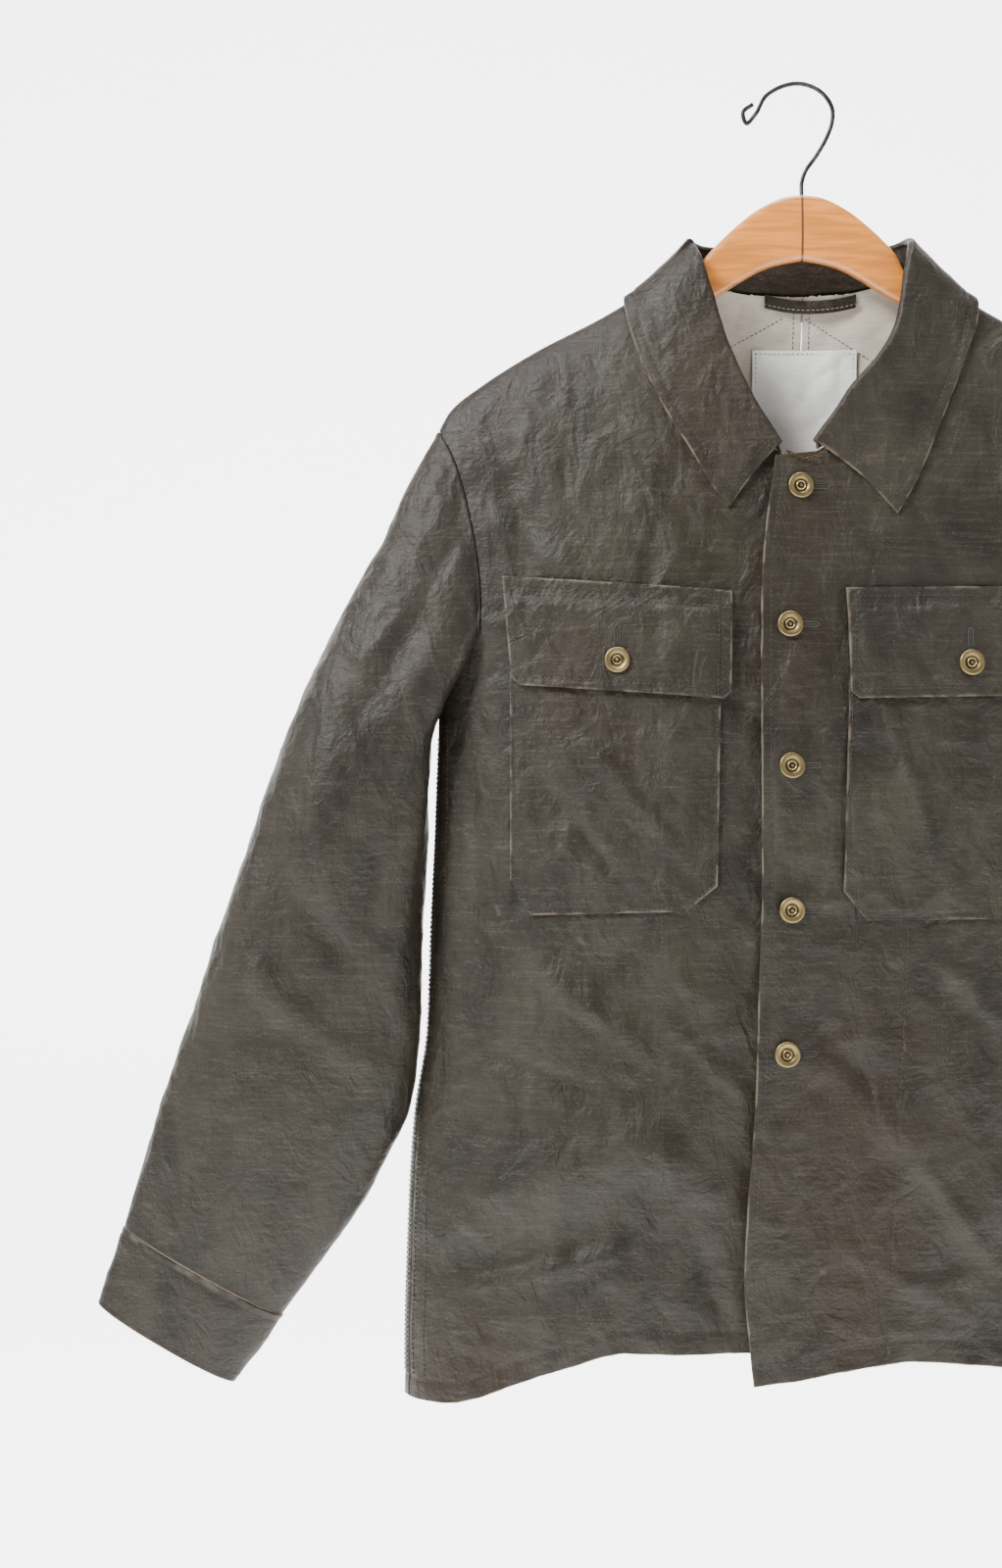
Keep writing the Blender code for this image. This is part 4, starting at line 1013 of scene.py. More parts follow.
def shell(name: str, outer: Grid, inner: Grid, finishes: Sequence, closed: bool = False,
          wear: Grid | None = None, push: float = 0.0007) -> bpy.types.Object:
    """Closed cloth wall between two grids, its free edges turned over round.

    Args:
        name: The piece's name.
        outer: Points of the outside, rows by columns.
        inner: Points of the inside.
        finishes: The outside's and the inside's materials.
        closed: Whether the columns meet round a tube.
        wear: How rubbed each outside point is.
        push: How far the round edge reaches past the flat faces.

    Returns:
        The new object.
    """
    sides = (0, 0) if closed else (1, 1)
    pad = ((1, 1), sides, (0, 0))
    big, small = np.pad(outer, pad, mode="edge"), np.pad(inner, pad, mode="edge")
    middle = (big + small) / 2
    for grid in (big, small):
        grid[1] += unit(grid[2] - grid[1]) * push
        grid[-2] += unit(grid[-3] - grid[-2]) * push
        if not closed:
            grid[:, 1] += unit(grid[:, 2] - grid[:, 1]) * push
            grid[:, -2] += unit(grid[:, -3] - grid[:, -2]) * push
    rows, columns = big.shape[:2]
    index = np.arange(rows * columns).reshape(rows, columns)
    under = index + rows * columns
    rim = np.zeros((rows, columns), bool)
    rim[[0, -1]] = True
    if not closed:
        rim[:, [0, -1]] = True
        for r, c, r1, c1 in ((0, 0, 1, 1), (0, -1, 1, -2), (-1, 0, -2, 1), (-1, -1, -2, -2)):
            index[r, c1] = index[r1, c] = index[r, c]
    big[rim] = middle[rim]
    under[rim] = index[rim]
    rubbed = np.zeros((rows, columns)) if wear is None else np.pad(wear, pad[:2], mode="edge")
    if closed:
        index = np.concatenate([index, index[:, :1]], 1)
        under = np.concatenate([under, under[:, :1]], 1)
    quads, slots = [], []
    for number, grid in enumerate((index, under)):
        corners = [grid[:-1, :-1], grid[:-1, 1:], grid[1:, 1:], grid[1:, :-1]]
        if number:
            corners.reverse()
        block = np.stack(corners, -1).reshape(-1, 4)
        quads.append(block)
        slots.append(np.full(len(block), number))
    quads, slots = np.concatenate(quads), np.concatenate(slots)
    ordered = np.sort(quads, 1)
    whole = (np.diff(ordered, axis=1) > 0).all(1)
    quads, slots = quads[whole], slots[whole]
    points = np.concatenate([big.reshape(-1, 3), small.reshape(-1, 3)])
    used, flat = np.unique(quads, return_inverse=True)
    quads = flat.reshape(-1, 4)
    points = points[used]
    rubbed = np.concatenate([rubbed.reshape(-1), np.zeros(rows * columns)])[used]
    if volume(points, quads) < 0:
        quads = quads[:, ::-1]
    return finished(name, points, quads, finishes, slots, rubbed)


def rows_up() -> Grid:
    """Levels of a panel's fine rows, crowded at the hem and at the shoulder."""
    hem = np.array([0, 1.2, 2.6, 4.5, 8, 12, 13.3, 14.6, 17]) * 1e-3 / LEVEL_LENGTH
    body = np.linspace(0.032, ARMPIT, 112)
    arm = np.linspace(ARMPIT, CORNER, 14)[1:]
    left = np.arange(41) / 40
    return np.concatenate([hem, body, arm, 1 - (1 - NECK) * (1 - left) ** 2.2])


def columns_across(width: float, count: int) -> Grid:
    """Shares across a panel from its inner edge, fine along that edge.

    Args:
        width: The panel's width.
        count: How many even columns follow.

    Returns:
        The shares.
    """
    near = np.array([0, 1.0, 2.0, 3.2, 4.8, 5.8, 6.8, 8.4]) * 1e-3 / width
    share = np.linspace(0, 1, count)
    even = 0.35 * share + 0.65 * np.arcsin(0.95 * share) / math.asin(0.95)
    return np.concatenate([near, near[-1] + (1 - near[-1]) * even[1:]])


def stitched_edge(distance: Grid, inset: float, puff: float = 0.0004, groove: float = 0.0005) -> Grid:
    """Height of a turned edge: puffed along its rim and drawn in along its stitches."""
    return puff * (1 - ease(distance / (inset * 1.3))) - groove * bell(distance - inset, 0.0011)


@dataclass
class Trunk:
    """The two fronts and two backs."""

    wardrobe: Wardrobe
    front_columns: int = 92
    back_columns: int = 74
    neck_columns: int = 26
    hem_inset: float = 0.014
    edge_inset: float = 0.006
    dart_height: float = 0.0008
    darts: dict = field(default_factory=lambda: {
        Side.RIGHT: ((-0.0993, -0.288), (-0.1000, -0.866)),
        Side.LEFT: ((0.0625, -0.580), (0.0469, -0.866)),
    })

    def front_inner(self, side: Side, level: Grid) -> tuple[Grid, Grid]:
        """The closure edge and the neckline in the front view.

        Args:
            side: The front's side.
            level: Shares from hem to shoulder.

        Returns:
            Places across and up.
        """
        edge = LAP_EDGE if side is Side.LEFT else UNDER_EDGE
        z = edge["z"][0] + (edge["z"][-1] - edge["z"][0]) * np.clip(level / CORNER, 0, 1)
        x = smooth(z, edge["z"], edge["x"])
        above = level > CORNER + 1e-6
        neck_x = smooth(level, NECKLINE["level"], NECKLINE[side.word + "_x"])
        neck_z = smooth(level, NECKLINE["level"], NECKLINE[side.word + "_z"])
        return np.where(above, neck_x, x), np.where(above, neck_z, z)

    def outer_edge(self, side: Side, level: Grid, face: str, hem_z: float) -> tuple[Grid, Grid]:
        """The side seam and the armhole: their angles and heights.

        Args:
            side: The panel's side.
            level: Shares from hem to shoulder.
            face: front or back.
            hem_z: Height of the hem there.

        Returns:
            Angles and heights.
        """
        arm_x = smooth(level, ARMHOLE["level"], ARMHOLE[face + "_x"])
        arm_z = smooth(level, ARMHOLE["level"], ARMHOLE[face + "_z"])
        below = np.clip(level / ARMPIT, 0, 1)
        z = np.where(level > ARMPIT, arm_z, hem_z + (ARMHOLE["front_z"][0] - hem_z) * below)
        seam = FORM.seam_hem + (FORM.seam_armpit - FORM.seam_hem) * below**2
        seam = seam + (FORM.seam_angle if face == "back" else -FORM.seam_angle)
        arm = np.abs(FORM.angle_at(arm_x, arm_z, face == "front"))
        return side.value * np.where(level > ARMPIT, arm, seam), z

    def settle(self, angle: Grid, line: Grid, level: Grid, top: Callable, hem: Callable) -> Grid:
        """Bends the straight rows so that the last ones follow the shoulder and the hem."""
        x = FORM.bare(angle, line)[..., 0]
        z = line + (top(x[-1:]) - line[-1:]) * level**5
        return z + (hem(x[:1]) - line[:1]) * (1 - level) ** 3

    def walls(self, angle: Grid, z: Grid, layer: Layer, lift: Grid, shoulder: slice,
              y: int) -> tuple[Grid, Grid]:
        """Outside and inside points of a panel.

        Args:
            angle: Angles round the form.
            z: Heights.
            layer: What the panel lies on.
            lift: Extra height at its stitched edges.
            shoulder: Columns that end in the shoulder seam.
            y: Which side of the seam the panel is on.

        Returns:
            The outside and the inside.
        """
        outer = FORM.cloth(angle, z, layer) + FORM.outward(angle, z) * lift[..., None]
        outer[-1, shoulder, 1] = y * SEAM_GAP / 2
        normal = grid_normals(outer)
        normal *= np.sign((normal * FORM.outward(angle, z)).sum(-1).mean())
        return outer, outer - normal * WALL

    def front(self, side: Side) -> tuple[Grid, Grid, Grid]:
        """Outside, inside and wear of a front.

        Args:
            side: The front's side.

        Returns:
            The three grids.
        """
        level = rows_up()[:, None]
        share = columns_across(0.30, self.front_columns)[None, :]
        hem = HEM_LEFT if side is Side.LEFT else HEM_RIGHT
        x_in, z_in = self.front_inner(side, level)
        angle_in = FORM.angle_at(x_in, z_in)
        angle_out, z_out = self.outer_edge(side, level, "front", hem["z"][-1 if side is Side.LEFT else 0])
        angle = angle_in + (angle_out - angle_in) * share
        line = z_in + (z_out - z_in) * share
        z = self.settle(angle, line, level, FORM.ridge, lambda x: smooth(x, hem["x"], hem["z"]))
        x = FORM.bare(angle, z)[..., 0]
        from_edge = np.abs(x - x_in) + 0 * z
        from_hem = z - smooth(x, hem["x"], hem["z"])
        below_neck = 1 - ease((level - 0.77) / 0.03)
        lift = stitched_edge(from_hem, self.hem_inset)
        lift = lift + stitched_edge(from_edge, self.edge_inset) * below_neck
        (x0, z0), (x1, z1) = self.darts[side]
        dart = x - (x0 + (x1 - x0) * (z - z0) / (z1 - z0))
        shown = ease((z0 - z) / 0.01) * ease((z - z1) / 0.01)
        lift = lift + shown * self.dart_height * (ease(dart / 0.004 + 0.5) - ease(dart / 0.03 - 0.2))
        wear = np.maximum(1 - from_hem / 0.0022, (1 - from_edge / 0.0022) * below_neck).clip(0, 1)
        wear = np.maximum(wear, 0.55 * bell(dart - 0.001, 0.0012) * shown)
        layer = Layer.TOP if side is Side.LEFT else Layer.UNDER
        return *self.walls(angle, z, layer, lift, slice(None), -1), wear

    def back_top(self, x: Grid) -> Grid:
        """The back's upper edge: the neck, then the shoulder."""
        neck = smooth(np.abs(x), BACK_NECK["x"], BACK_NECK["z"])
        return np.where(np.abs(x) < NECK_POINT - 1e-5, neck, FORM.ridge(x))

    def back(self, side: Side) -> tuple[Grid, Grid, Grid]:
        """Outside, inside and wear of a back.

        Args:
            side: The back's side.

        Returns:
            The three grids.
        """
        level = rows_up()[:, None]
        z_in = smooth(level, BACK_CENTRE["level"], BACK_CENTRE["z"])
        angle_out, z_out = self.outer_edge(side, level, "back", HEM_BACK["z"][-1])
        turn_in = side.value * FORM.angle_at(CENTRE_BACK + side.value * SEAM_GAP / 2, z_in)
        turn_out = math.pi - np.abs(angle_out)
        near = columns_across(0.075, self.neck_columns)[None, :]
        far = np.linspace(0, 1, self.back_columns)[None, 1:]
        corner = FORM.angle_at(NECK_POINT, BACK_NECK["z"][-1])
        neck_turn = turn_in + (turn_out - turn_in) * (corner - turn_in[-1]) / (turn_out[-1] - turn_in[-1])
        turn = np.concatenate(
            [turn_in + (neck_turn - turn_in) * near, neck_turn + (turn_out - neck_turn) * far], 1
        )
        angle = side.value * (math.pi - turn)
        line = z_in + (z_out - z_in) * (turn - turn_in) / (turn_out - turn_in)
        z = self.settle(
            angle, line, level, self.back_top,
            lambda x: smooth(np.abs(x), HEM_BACK["x"], HEM_BACK["z"]),
        )
        x = FORM.bare(angle, z)[..., 0]
        from_hem = z - smooth(np.abs(x), HEM_BACK["x"], HEM_BACK["z"])
        lift = stitched_edge(from_hem, self.hem_inset)
        wear = (1 - from_hem / 0.0022).clip(0, 1)
        seam = slice(near.shape[1] - 1, None)
        return *self.walls(angle, z, Layer.BACK, lift, seam, 1), wear

    def build(self) -> tuple[dict, dict]:
        """Makes the four panels and returns their grids by node name, outsides and insides."""
        outside, inside = {}, {}
        for side in Side:
            for part, grids in (("front", self.front(side)), ("back", self.back(side))):
                name = f"{part}_{side.word}"
                outer, inner, wear = grids
                outside[name], inside[name] = outer, inner
                finishes = (self.wardrobe.outside, self.wardrobe.inside)
                piece = shell(name + "_cloth", outer.copy(), inner.copy(), finishes, wear=wear)
                dress(piece, name)
                flat = (0.33, 0.74) if part == "front" else (0.28, 0.76)
        return outside, inside


def dress(piece: bpy.types.Object, *nodes: str, slot: str = "canvas") -> None:
    """Lets a piece ride on the body and stand for its nodes.

    Args:
        piece: The piece.
        *nodes: Nodes that it stands for.
        slot: Not used.
    """
    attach(piece, "root")
    if nodes:
        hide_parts(*nodes)
    LOG.info("%s: %d faces", piece.name, len(piece.data.polygons))


@dataclass
class Arm:
    """A sleeve with its cuff."""

    wardrobe: Wardrobe
    side: Side
    front: tuple[Grid, Grid]
    back: tuple[Grid, Grid]
    first_row: int
    rows: int = 170
    crumple_height: float = 0.0011
    seam_inset: float = 0.005

    def ring(self) -> tuple[Grid, Grid, Grid]:
        """Outside and inside points round the armhole, and the way its panels run there."""
        rows = np.arange(len(self.front[0]) - 1, self.first_row - 1, -1)
        ring, inner, runs = [], [], []
        for (outside, inside), order in ((self.front, rows), (self.back, rows[::-1])):
            run = unit(outside[order, -1] - outside[order, -4])
            ring.append(outside[order, -1] + run * SEAM_GAP)
            inner.append(inside[order, -1] + run * SEAM_GAP)
            runs.append(run)
        tip, tip_in = (ring[0][0] + ring[1][-1]) / 2, (inner[0][0] + inner[1][-1]) / 2
        sideways = np.array([self.side.value, 0.0, 0.0])
        pit = (ring[0][-1] + ring[1][0]) / 2 + sideways * (SEAM_GAP + WALL * 0.2)
        outer = np.concatenate([[tip], ring[0][1:-1], [pit], ring[1][1:-1]])
        inside = np.concatenate([[tip_in], inner[0][1:-1], [pit], inner[1][1:-1]])
        away = np.concatenate([[sideways], runs[0][1:-1], [sideways], runs[1][1:-1]])
        return outer, inside, away

    def turns(self, ring: Grid) -> Grid:
        """Angles round the sleeve in step with the armhole's points, 180 degrees at the armpit.

        Args:
            ring: The armhole's points.

        Returns:
            One angle a point, in radians.
        """
        half = len(ring) // 2
        step = np.linalg.norm(np.diff(np.vstack([ring, ring[:1]]), axis=0), axis=1)
        front = np.concatenate([[0], np.cumsum(step[:half])])
        back = np.concatenate([[0], np.cumsum(step[half:])])
        return np.concatenate([front[:-1] / front[-1], 1 + back[:-1] / back[-1]]) * math.pi

    def tube(self, sections: Table, level: Grid, turns: Grid) -> Grid:
        """Flattened rings between the outer and inner edges of a table of sections.

        Args:
            sections: The table.
            level: Shares down the tube.
            turns: Angles round it.

        Returns:
            The points.
        """
        column = {name: smooth(level, sections["level"], sections[name])[:, None] for name in sections}
        cosine = np.sign(np.cos(turns)) * np.abs(np.cos(turns)) ** (2 / SLEEVE_POWER)
        sine = np.sign(np.sin(turns)) * np.abs(np.sin(turns)) ** (2 / SLEEVE_POWER)
        x = (column["outer_x"] * (1 + cosine) + column["inner_x"] * (1 - cosine)) / 2
        z = (column["outer_z"] * (1 + cosine) + column["inner_z"] * (1 - cosine)) / 2
        y = column["y"] - column["half"] * sine
        return np.stack([self.side.value * x, y, z], -1)

    def normals(self, grid: Grid) -> Grid:
        """Normals of a tube, outwards."""
        return self.side.value * grid_normals(grid, closed=True)

    def folds(self, turns: Grid, level: Grid) -> Grid:
        """Lengthwise drag folds, measured round and down the sleeve in metres.

        Args:
            turns: Angles round.
            level: Shares down.

        Returns:
            The folds' height.
        """
        total = np.zeros(np.broadcast(turns, level).shape)
        for fold in SLEEVE_FOLDS + FINE_SLEEVE_FOLDS:
            start = np.array([math.radians(fold.turn0) * SLEEVE_ARC, fold.level0 * SLEEVE_LENGTH])
            end = np.array([math.radians(fold.turn1) * SLEEVE_ARC, fold.level1 * SLEEVE_LENGTH])
            run = end - start
            length = np.linalg.norm(run)
            arc = turns * SLEEVE_ARC - start[0]
            down = level * SLEEVE_LENGTH - start[1]
            share = (arc * run[0] + down * run[1]) / length**2
            off = (arc * run[1] - down * run[0]) / length
            total += fold.height * bell(off, fold.width) * np.exp(-((np.abs(share - 0.5) / 0.5) ** 3))
        return total

    def sleeve(self) -> tuple[Grid, Grid, Grid]:
        """Outside and inside points of the sleeve, and the turns of its columns."""
        ring, ring_inside, away = self.ring()
        turns = self.turns(ring)
        level = (np.arange(self.rows + 1) / self.rows) ** 1.15
        plain = self.tube(SLEEVE, level, turns)
        down = level[:, None]
        from_pit = np.abs(turns - math.pi) / math.pi
        near_pit = 1 - ease(from_pit / PIT_SHARE)
        eased = away * (PIT_EASE * near_pit)[:, None]
        ring, ring_inside = ring + eased, ring_inside + eased
        keep = 1 - ease(down / (PIT_REACH + (CAP_REACH - PIT_REACH) * ease(from_pit / 0.5)))
        room = PIT_ROOM * near_pit * ease(down / 0.05) * keep
        outer = plain + (ring - plain[0]) * keep[..., None] + away * room[..., None]
        hold = ease(down / 0.05) * ease((1 - down) / 0.05)
        pressed = outer * np.array([1.4, 1.0, 0.75])
        small = crumple(pressed, 0.042, 5.5) + 0.5 * crumple(pressed, 0.019, 9.1)
        uneven = 0.4 + 0.6 * ease(0.5 + crumple(outer, 0.15, 2.4))
        lift = (self.folds(turns[None, :], down) + self.crumple_height * small * uneven) * hold
        lift = lift + 0.0006 * bell(down * SLEEVE_LENGTH - 0.004, 0.004) * ease(from_pit / 0.2)
        outer = outer + self.normals(outer) * lift[..., None]
        inner = outer - self.normals(outer) * WALL
        square = ease(from_pit / 0.12)[:, None]
        inner[0] = ring_inside * square + inner[0] * (1 - square)
        return outer, inner, turns

    def cuff(self, turns: Grid) -> tuple[Grid, Grid, Grid]:
        """Outside, inside and wear of the cuff.

        Args:
            turns: Angles round.

        Returns:
            The three grids.
        """
        edge = np.array([0, 0.02, 0.045, 0.08, 0.11])
        level = np.concatenate([edge, np.linspace(0.15, 0.85, 16), 1 - edge[::-1]])
        outer = self.tube(CUFF, level, turns)
        distance = np.minimum(level, 1 - level)[:, None] * 0.055
        lift = stitched_edge(distance, self.seam_inset) + 0 * outer[..., 0]
        lift = lift + 0.0008 * crumple(outer, 0.03, 4.4) * ease(level[:, None] * (1 - level[:, None]) / 0.12)
        outer = outer + self.normals(outer) * lift[..., None]
        wear = np.maximum(1 - distance / 0.0028, 0.6 * bell(level[:, None] * 0.055 - 0.002, 0.003))
        return outer, outer - self.normals(outer) * DOUBLE_WALL, wear + 0 * outer[..., 0]

    def build(self) -> tuple[Grid, Grid]:
        """Makes the sleeve and the cuff and returns their outsides."""
        finishes = (self.wardrobe.outside, self.wardrobe.inside)
        outer, inner, turns = self.sleeve()
        word = self.side.word
        piece = shell(f"sleeve_{word}_cloth", outer.copy(), inner.copy(), finishes, closed=True)
        dress(piece, f"sleeve_{word}")
        outside, inside, wear = self.cuff(turns)
        piece = shell(f"cuff_{word}_cloth", outside.copy(), inside.copy(), finishes, closed=True, wear=wear)
        dress(piece, f"cuff_{word}")
        return outer, outside


@dataclass
class Collar:
    """Stand and fall in one, turned over the neck seam, with pointed leaves."""

    wardrobe: Wardrobe
    roll_radius: float = 0.003
    gap: float = 0.0020
    shoulder_room: float = 0.0015
    stitch_inset: float = 0.008
    stand: Grid = field(default_factory=lambda: np.linspace(0, 0.92, 7))
    roll: Grid = field(default_factory=lambda: np.radians(np.linspace(0, 180, 12)))
    fall: Grid = field(default_factory=lambda: np.concatenate(
        [np.linspace(0.04, 0.84, 26), [0.87, 0.90, 0.93, 0.955, 0.978, 1.0]]))

    def section(self, seam: Grid, roll: Grid, lift: float, edge: Grid, under: float, layer: Layer) -> Grid:
        """Visible side of the collar from its seam up the stand, over the roll and down the fall.

        Args:
            seam: Foot of the stand, across and root drop.
            roll: Foot of the roll.
            lift: The roll's height over the cloth.
            edge: Foot of the outer edge.
            under: How far the fall stands off the cloth.
            layer: The panel under it.

        Returns:
            The section's points.
        """
        ends = FORM.lifted(np.array([roll, seam]), np.array([lift, 0]), layer)
        t = np.maximum(self.stand, self.gap / np.linalg.norm(ends[0] - ends[1]))[:, None]
        stand = FORM.lifted(seam + (roll - seam) * t, (-WALL * (1 - t) + lift * t)[:, 0], layer)
        inwards = unit(FORM.at(*roll) - FORM.at(*(roll + 0.2 * (edge - roll))))
        feet = np.repeat(roll[None], len(self.roll), 0)
        over = FORM.lifted(feet, lift + self.roll_radius * (1 - np.cos(self.roll)), layer)
        over = over + inwards * (self.roll_radius * np.sin(self.roll))[:, None]
        clear = DOUBLE_WALL + LOOSE_GAP + under
        high = clear + (lift + 2 * self.roll_radius - clear) * (1 - self.fall) ** 1.5
        span = np.linalg.norm(FORM.at(*edge) - FORM.at(*roll))
        high = high + stitched_edge((1 - self.fall) * span, self.stitch_inset, 0.0005, 0.0007)
        fall = FORM.lifted(roll + (edge - roll) * self.fall[:, None], high, layer)
        return np.concatenate([stand, over, fall])

    def drop(self, x: float, z: float, sign: int) -> float:
        """Signed root drop of a place in the front view."""
        return sign * math.sqrt(max(float(FORM.ridge(x)) - z, 0.0))

    def half(self, side: Side) -> list[Grid]:
        """Sections of one half, from the front end round to the centre back.

        Args:
            side: The half's side.

        Returns:
            The points of each section.
        """
        rows, layer = (COLLAR_RIGHT, Layer.UNDER) if side is Side.RIGHT else (COLLAR_LEFT, Layer.TOP)
        start = np.array([0, 0.4, 0.9, 1.6, 2.6, 3.6, 4.2, 5.0]) * 0.002
        levels = 1 - (1 - NECK) * (1 - np.concatenate([start, np.linspace(0.014, 1, 56)])) ** 1.7
        half = []
        for level in levels:
            at = {key: float(smooth(level, rows["level"], rows[key])) for key in rows}
            x = float(smooth(level, NECKLINE["level"], NECKLINE[side.word + "_x"]))
            z = float(smooth(level, NECKLINE["level"], NECKLINE[side.word + "_z"]))
            feet = [(x, z), (at["roll_x"], at["roll_z"]), (at["edge_x"], at["edge_z"])]
            seam, roll, edge = (np.array([a, self.drop(a, b, -1)]) for a, b in feet)
            room = self.shoulder_room * float(ease((level - 0.95) / 0.05))
            half.append(self.section(seam, roll, at["lift"], edge, room, layer))
        for share in np.linspace(0, 1, 44)[1:]:
            at = {key: float(smooth(share, COLLAR_BACK["share"], COLLAR_BACK[key])) for key in COLLAR_BACK}
            z = float(smooth(at["seam_x"], BACK_NECK["x"], BACK_NECK["z"]))
            seam = np.array([side.value * at["seam_x"], self.drop(at["seam_x"], z, 1)])
            roll = np.array([side.value * at["roll_x"], at["roll_w"]])
            edge = np.array([side.value * at["edge_x"], at["edge_w"]])
            room = self.shoulder_room * (1 - float(ease(share)))
            half.append(self.section(seam, roll, at["lift"], edge, room, Layer.BACK))
        return half

    def build(self) -> Grid:
        """Makes the collar and returns its visible side."""
        visible = np.array(self.half(Side.RIGHT) + self.half(Side.LEFT)[-2::-1])
        length = np.linalg.norm(np.diff(visible, axis=1), axis=2)
        to_edge = np.cumsum(length[:, ::-1], axis=1)[:, ::-1]
        to_edge = np.concatenate([to_edge, np.zeros((len(visible), 1))], 1)
        ends = np.cumsum(np.linalg.norm(np.diff(visible[:, -12], axis=0), axis=1))
        along = np.concatenate([[0], ends])
        to_end = np.minimum(along, along[-1] - along)[:, None]
        wear = np.maximum(1 - to_edge / 0.0026, (1 - to_end / 0.0022)).clip(0, 1)
        normal = unit(np.cross(np.gradient(visible, axis=0), np.gradient(visible, axis=1)))
        small = 0.0006 * crumple(visible, 0.03, 8.2) * ease(to_edge / 0.012) * ease(to_end / 0.012)
        visible = visible + normal * (small * (np.arange(visible.shape[1]) > 8))[..., None]
        finishes = (self.wardrobe.outside, self.wardrobe.outside)
        piece = shell("collar_cloth", visible.copy(), visible - normal * DOUBLE_WALL, finishes, wear=wear)
        dress(piece, "collar")
        return visible


class Surface:
    """The visible outsides together, on which trims and stitches are laid."""

    def __init__(self, grids: Iterable[Grid], meshes: Iterable[bpy.types.Object] = ()) -> None:
        """Gathers the faces.

        Args:
            grids: Grids of points.
            meshes: Pieces whose faces count too.
        """
        points, faces = [], []
        for grid in grids:
            index = np.arange(grid.shape[0] * grid.shape[1]).reshape(grid.shape[:2]) + len(points)
            points.extend(map(Vector, grid.reshape(-1, 3).tolist()))
            quads = np.stack([index[:-1, :-1], index[:-1, 1:], index[1:, 1:], index[1:, :-1]], -1)
            faces.extend(quads.reshape(-1, 4).tolist())
        for piece in meshes:
            start = len(points)
            points.extend(v.co.copy() for v in piece.data.vertices)
            faces.extend([start + v for v in face.vertices] for face in piece.data.polygons)
        self.tree = BVHTree.FromPolygons(points, faces)

    def touch(self, x: float, z: float, front: bool = True) -> tuple[Vector, Vector] | None:
        """The outermost point at a place in the front or back view, with its outward normal.

        Args:
            x: Place across.
            z: Place up.
            front: Whether it is seen from the front.

        Returns:
            The point and its normal, or None off the cloth.
        """
        way = 1 if front else -1
        hit, normal, _, _ = self.tree.ray_cast(Vector((x, -0.3 * way, z)), Vector((0, way, 0)))
        if hit is None:
            return None
        return hit, (normal if normal.y * way < 0 else -normal)

    def follow(self, path: Sequence[Pair], lift: float, front: bool = True, step: float = 0.002) -> Grid:
        """Points of a path laid on the surface.

        Args:
            path: Corners of the path, across and up.
            lift: How far it lies proud.
            front: Whether it is seen from the front.
            step: Distance between points.

        Returns:
            The points.
        """
        laid = []
        for (x0, z0), (x1, z1) in zip(path, path[1:]):
            count = max(2, int(math.hypot(x1 - x0, z1 - z0) / step) + 1)
            for t in np.linspace(0, 1, count)[bool(laid):]:
                found = self.touch(x0 + (x1 - x0) * t, z0 + (z1 - z0) * t, front)
                if found:
                    laid.append(found[0] + found[1] * lift)
        return np.array(laid)


def outline_distance(x: Grid, z: Grid, outline: Sequence[Pair]) -> Grid:
    """Distance from points to each side of an outline, one row a side.

    Args:
        x: Places across.
        z: Places up.
        outline: The outline's corners.

    Returns:
        The distances.
    """
    rows = []
    for (x0, z0), (x1, z1) in zip(outline, (*outline[1:], outline[0])):
        run = np.array([x1 - x0, z1 - z0])
        t = np.clip(((x - x0) * run[0] + (z - z0) * run[1]) / (run @ run), 0, 1)
        rows.append(np.hypot(x - x0 - t * run[0], z - z0 - t * run[1]))
    return np.array(rows)


def inset_outline(outline: Sequence[Pair], insets: Sequence[float]) -> list[Pair]:
    """The corners of an outline with each side moved in by its own distance.

    Args:
        outline: The outline's corners.
        insets: One distance for each side.

    Returns:
        The new corners.
    """
    lines = []
    for (x0, z0), (x1, z1), inset in zip(outline, (*outline[1:], outline[0]), insets):
        run = unit(np.array([x1 - x0, z1 - z0]))
        inwards = np.array([run[1], -run[0]])
        lines.append((np.array([x0, z0]) + inwards * inset, run))
    corners = []
    for (p, run), (q, other) in zip((lines[-1], *lines[:-1]), lines):
        t = np.linalg.solve(np.stack([run, -other], 1), q - p)[0]
        corners.append(tuple(p + run * t))
    return corners


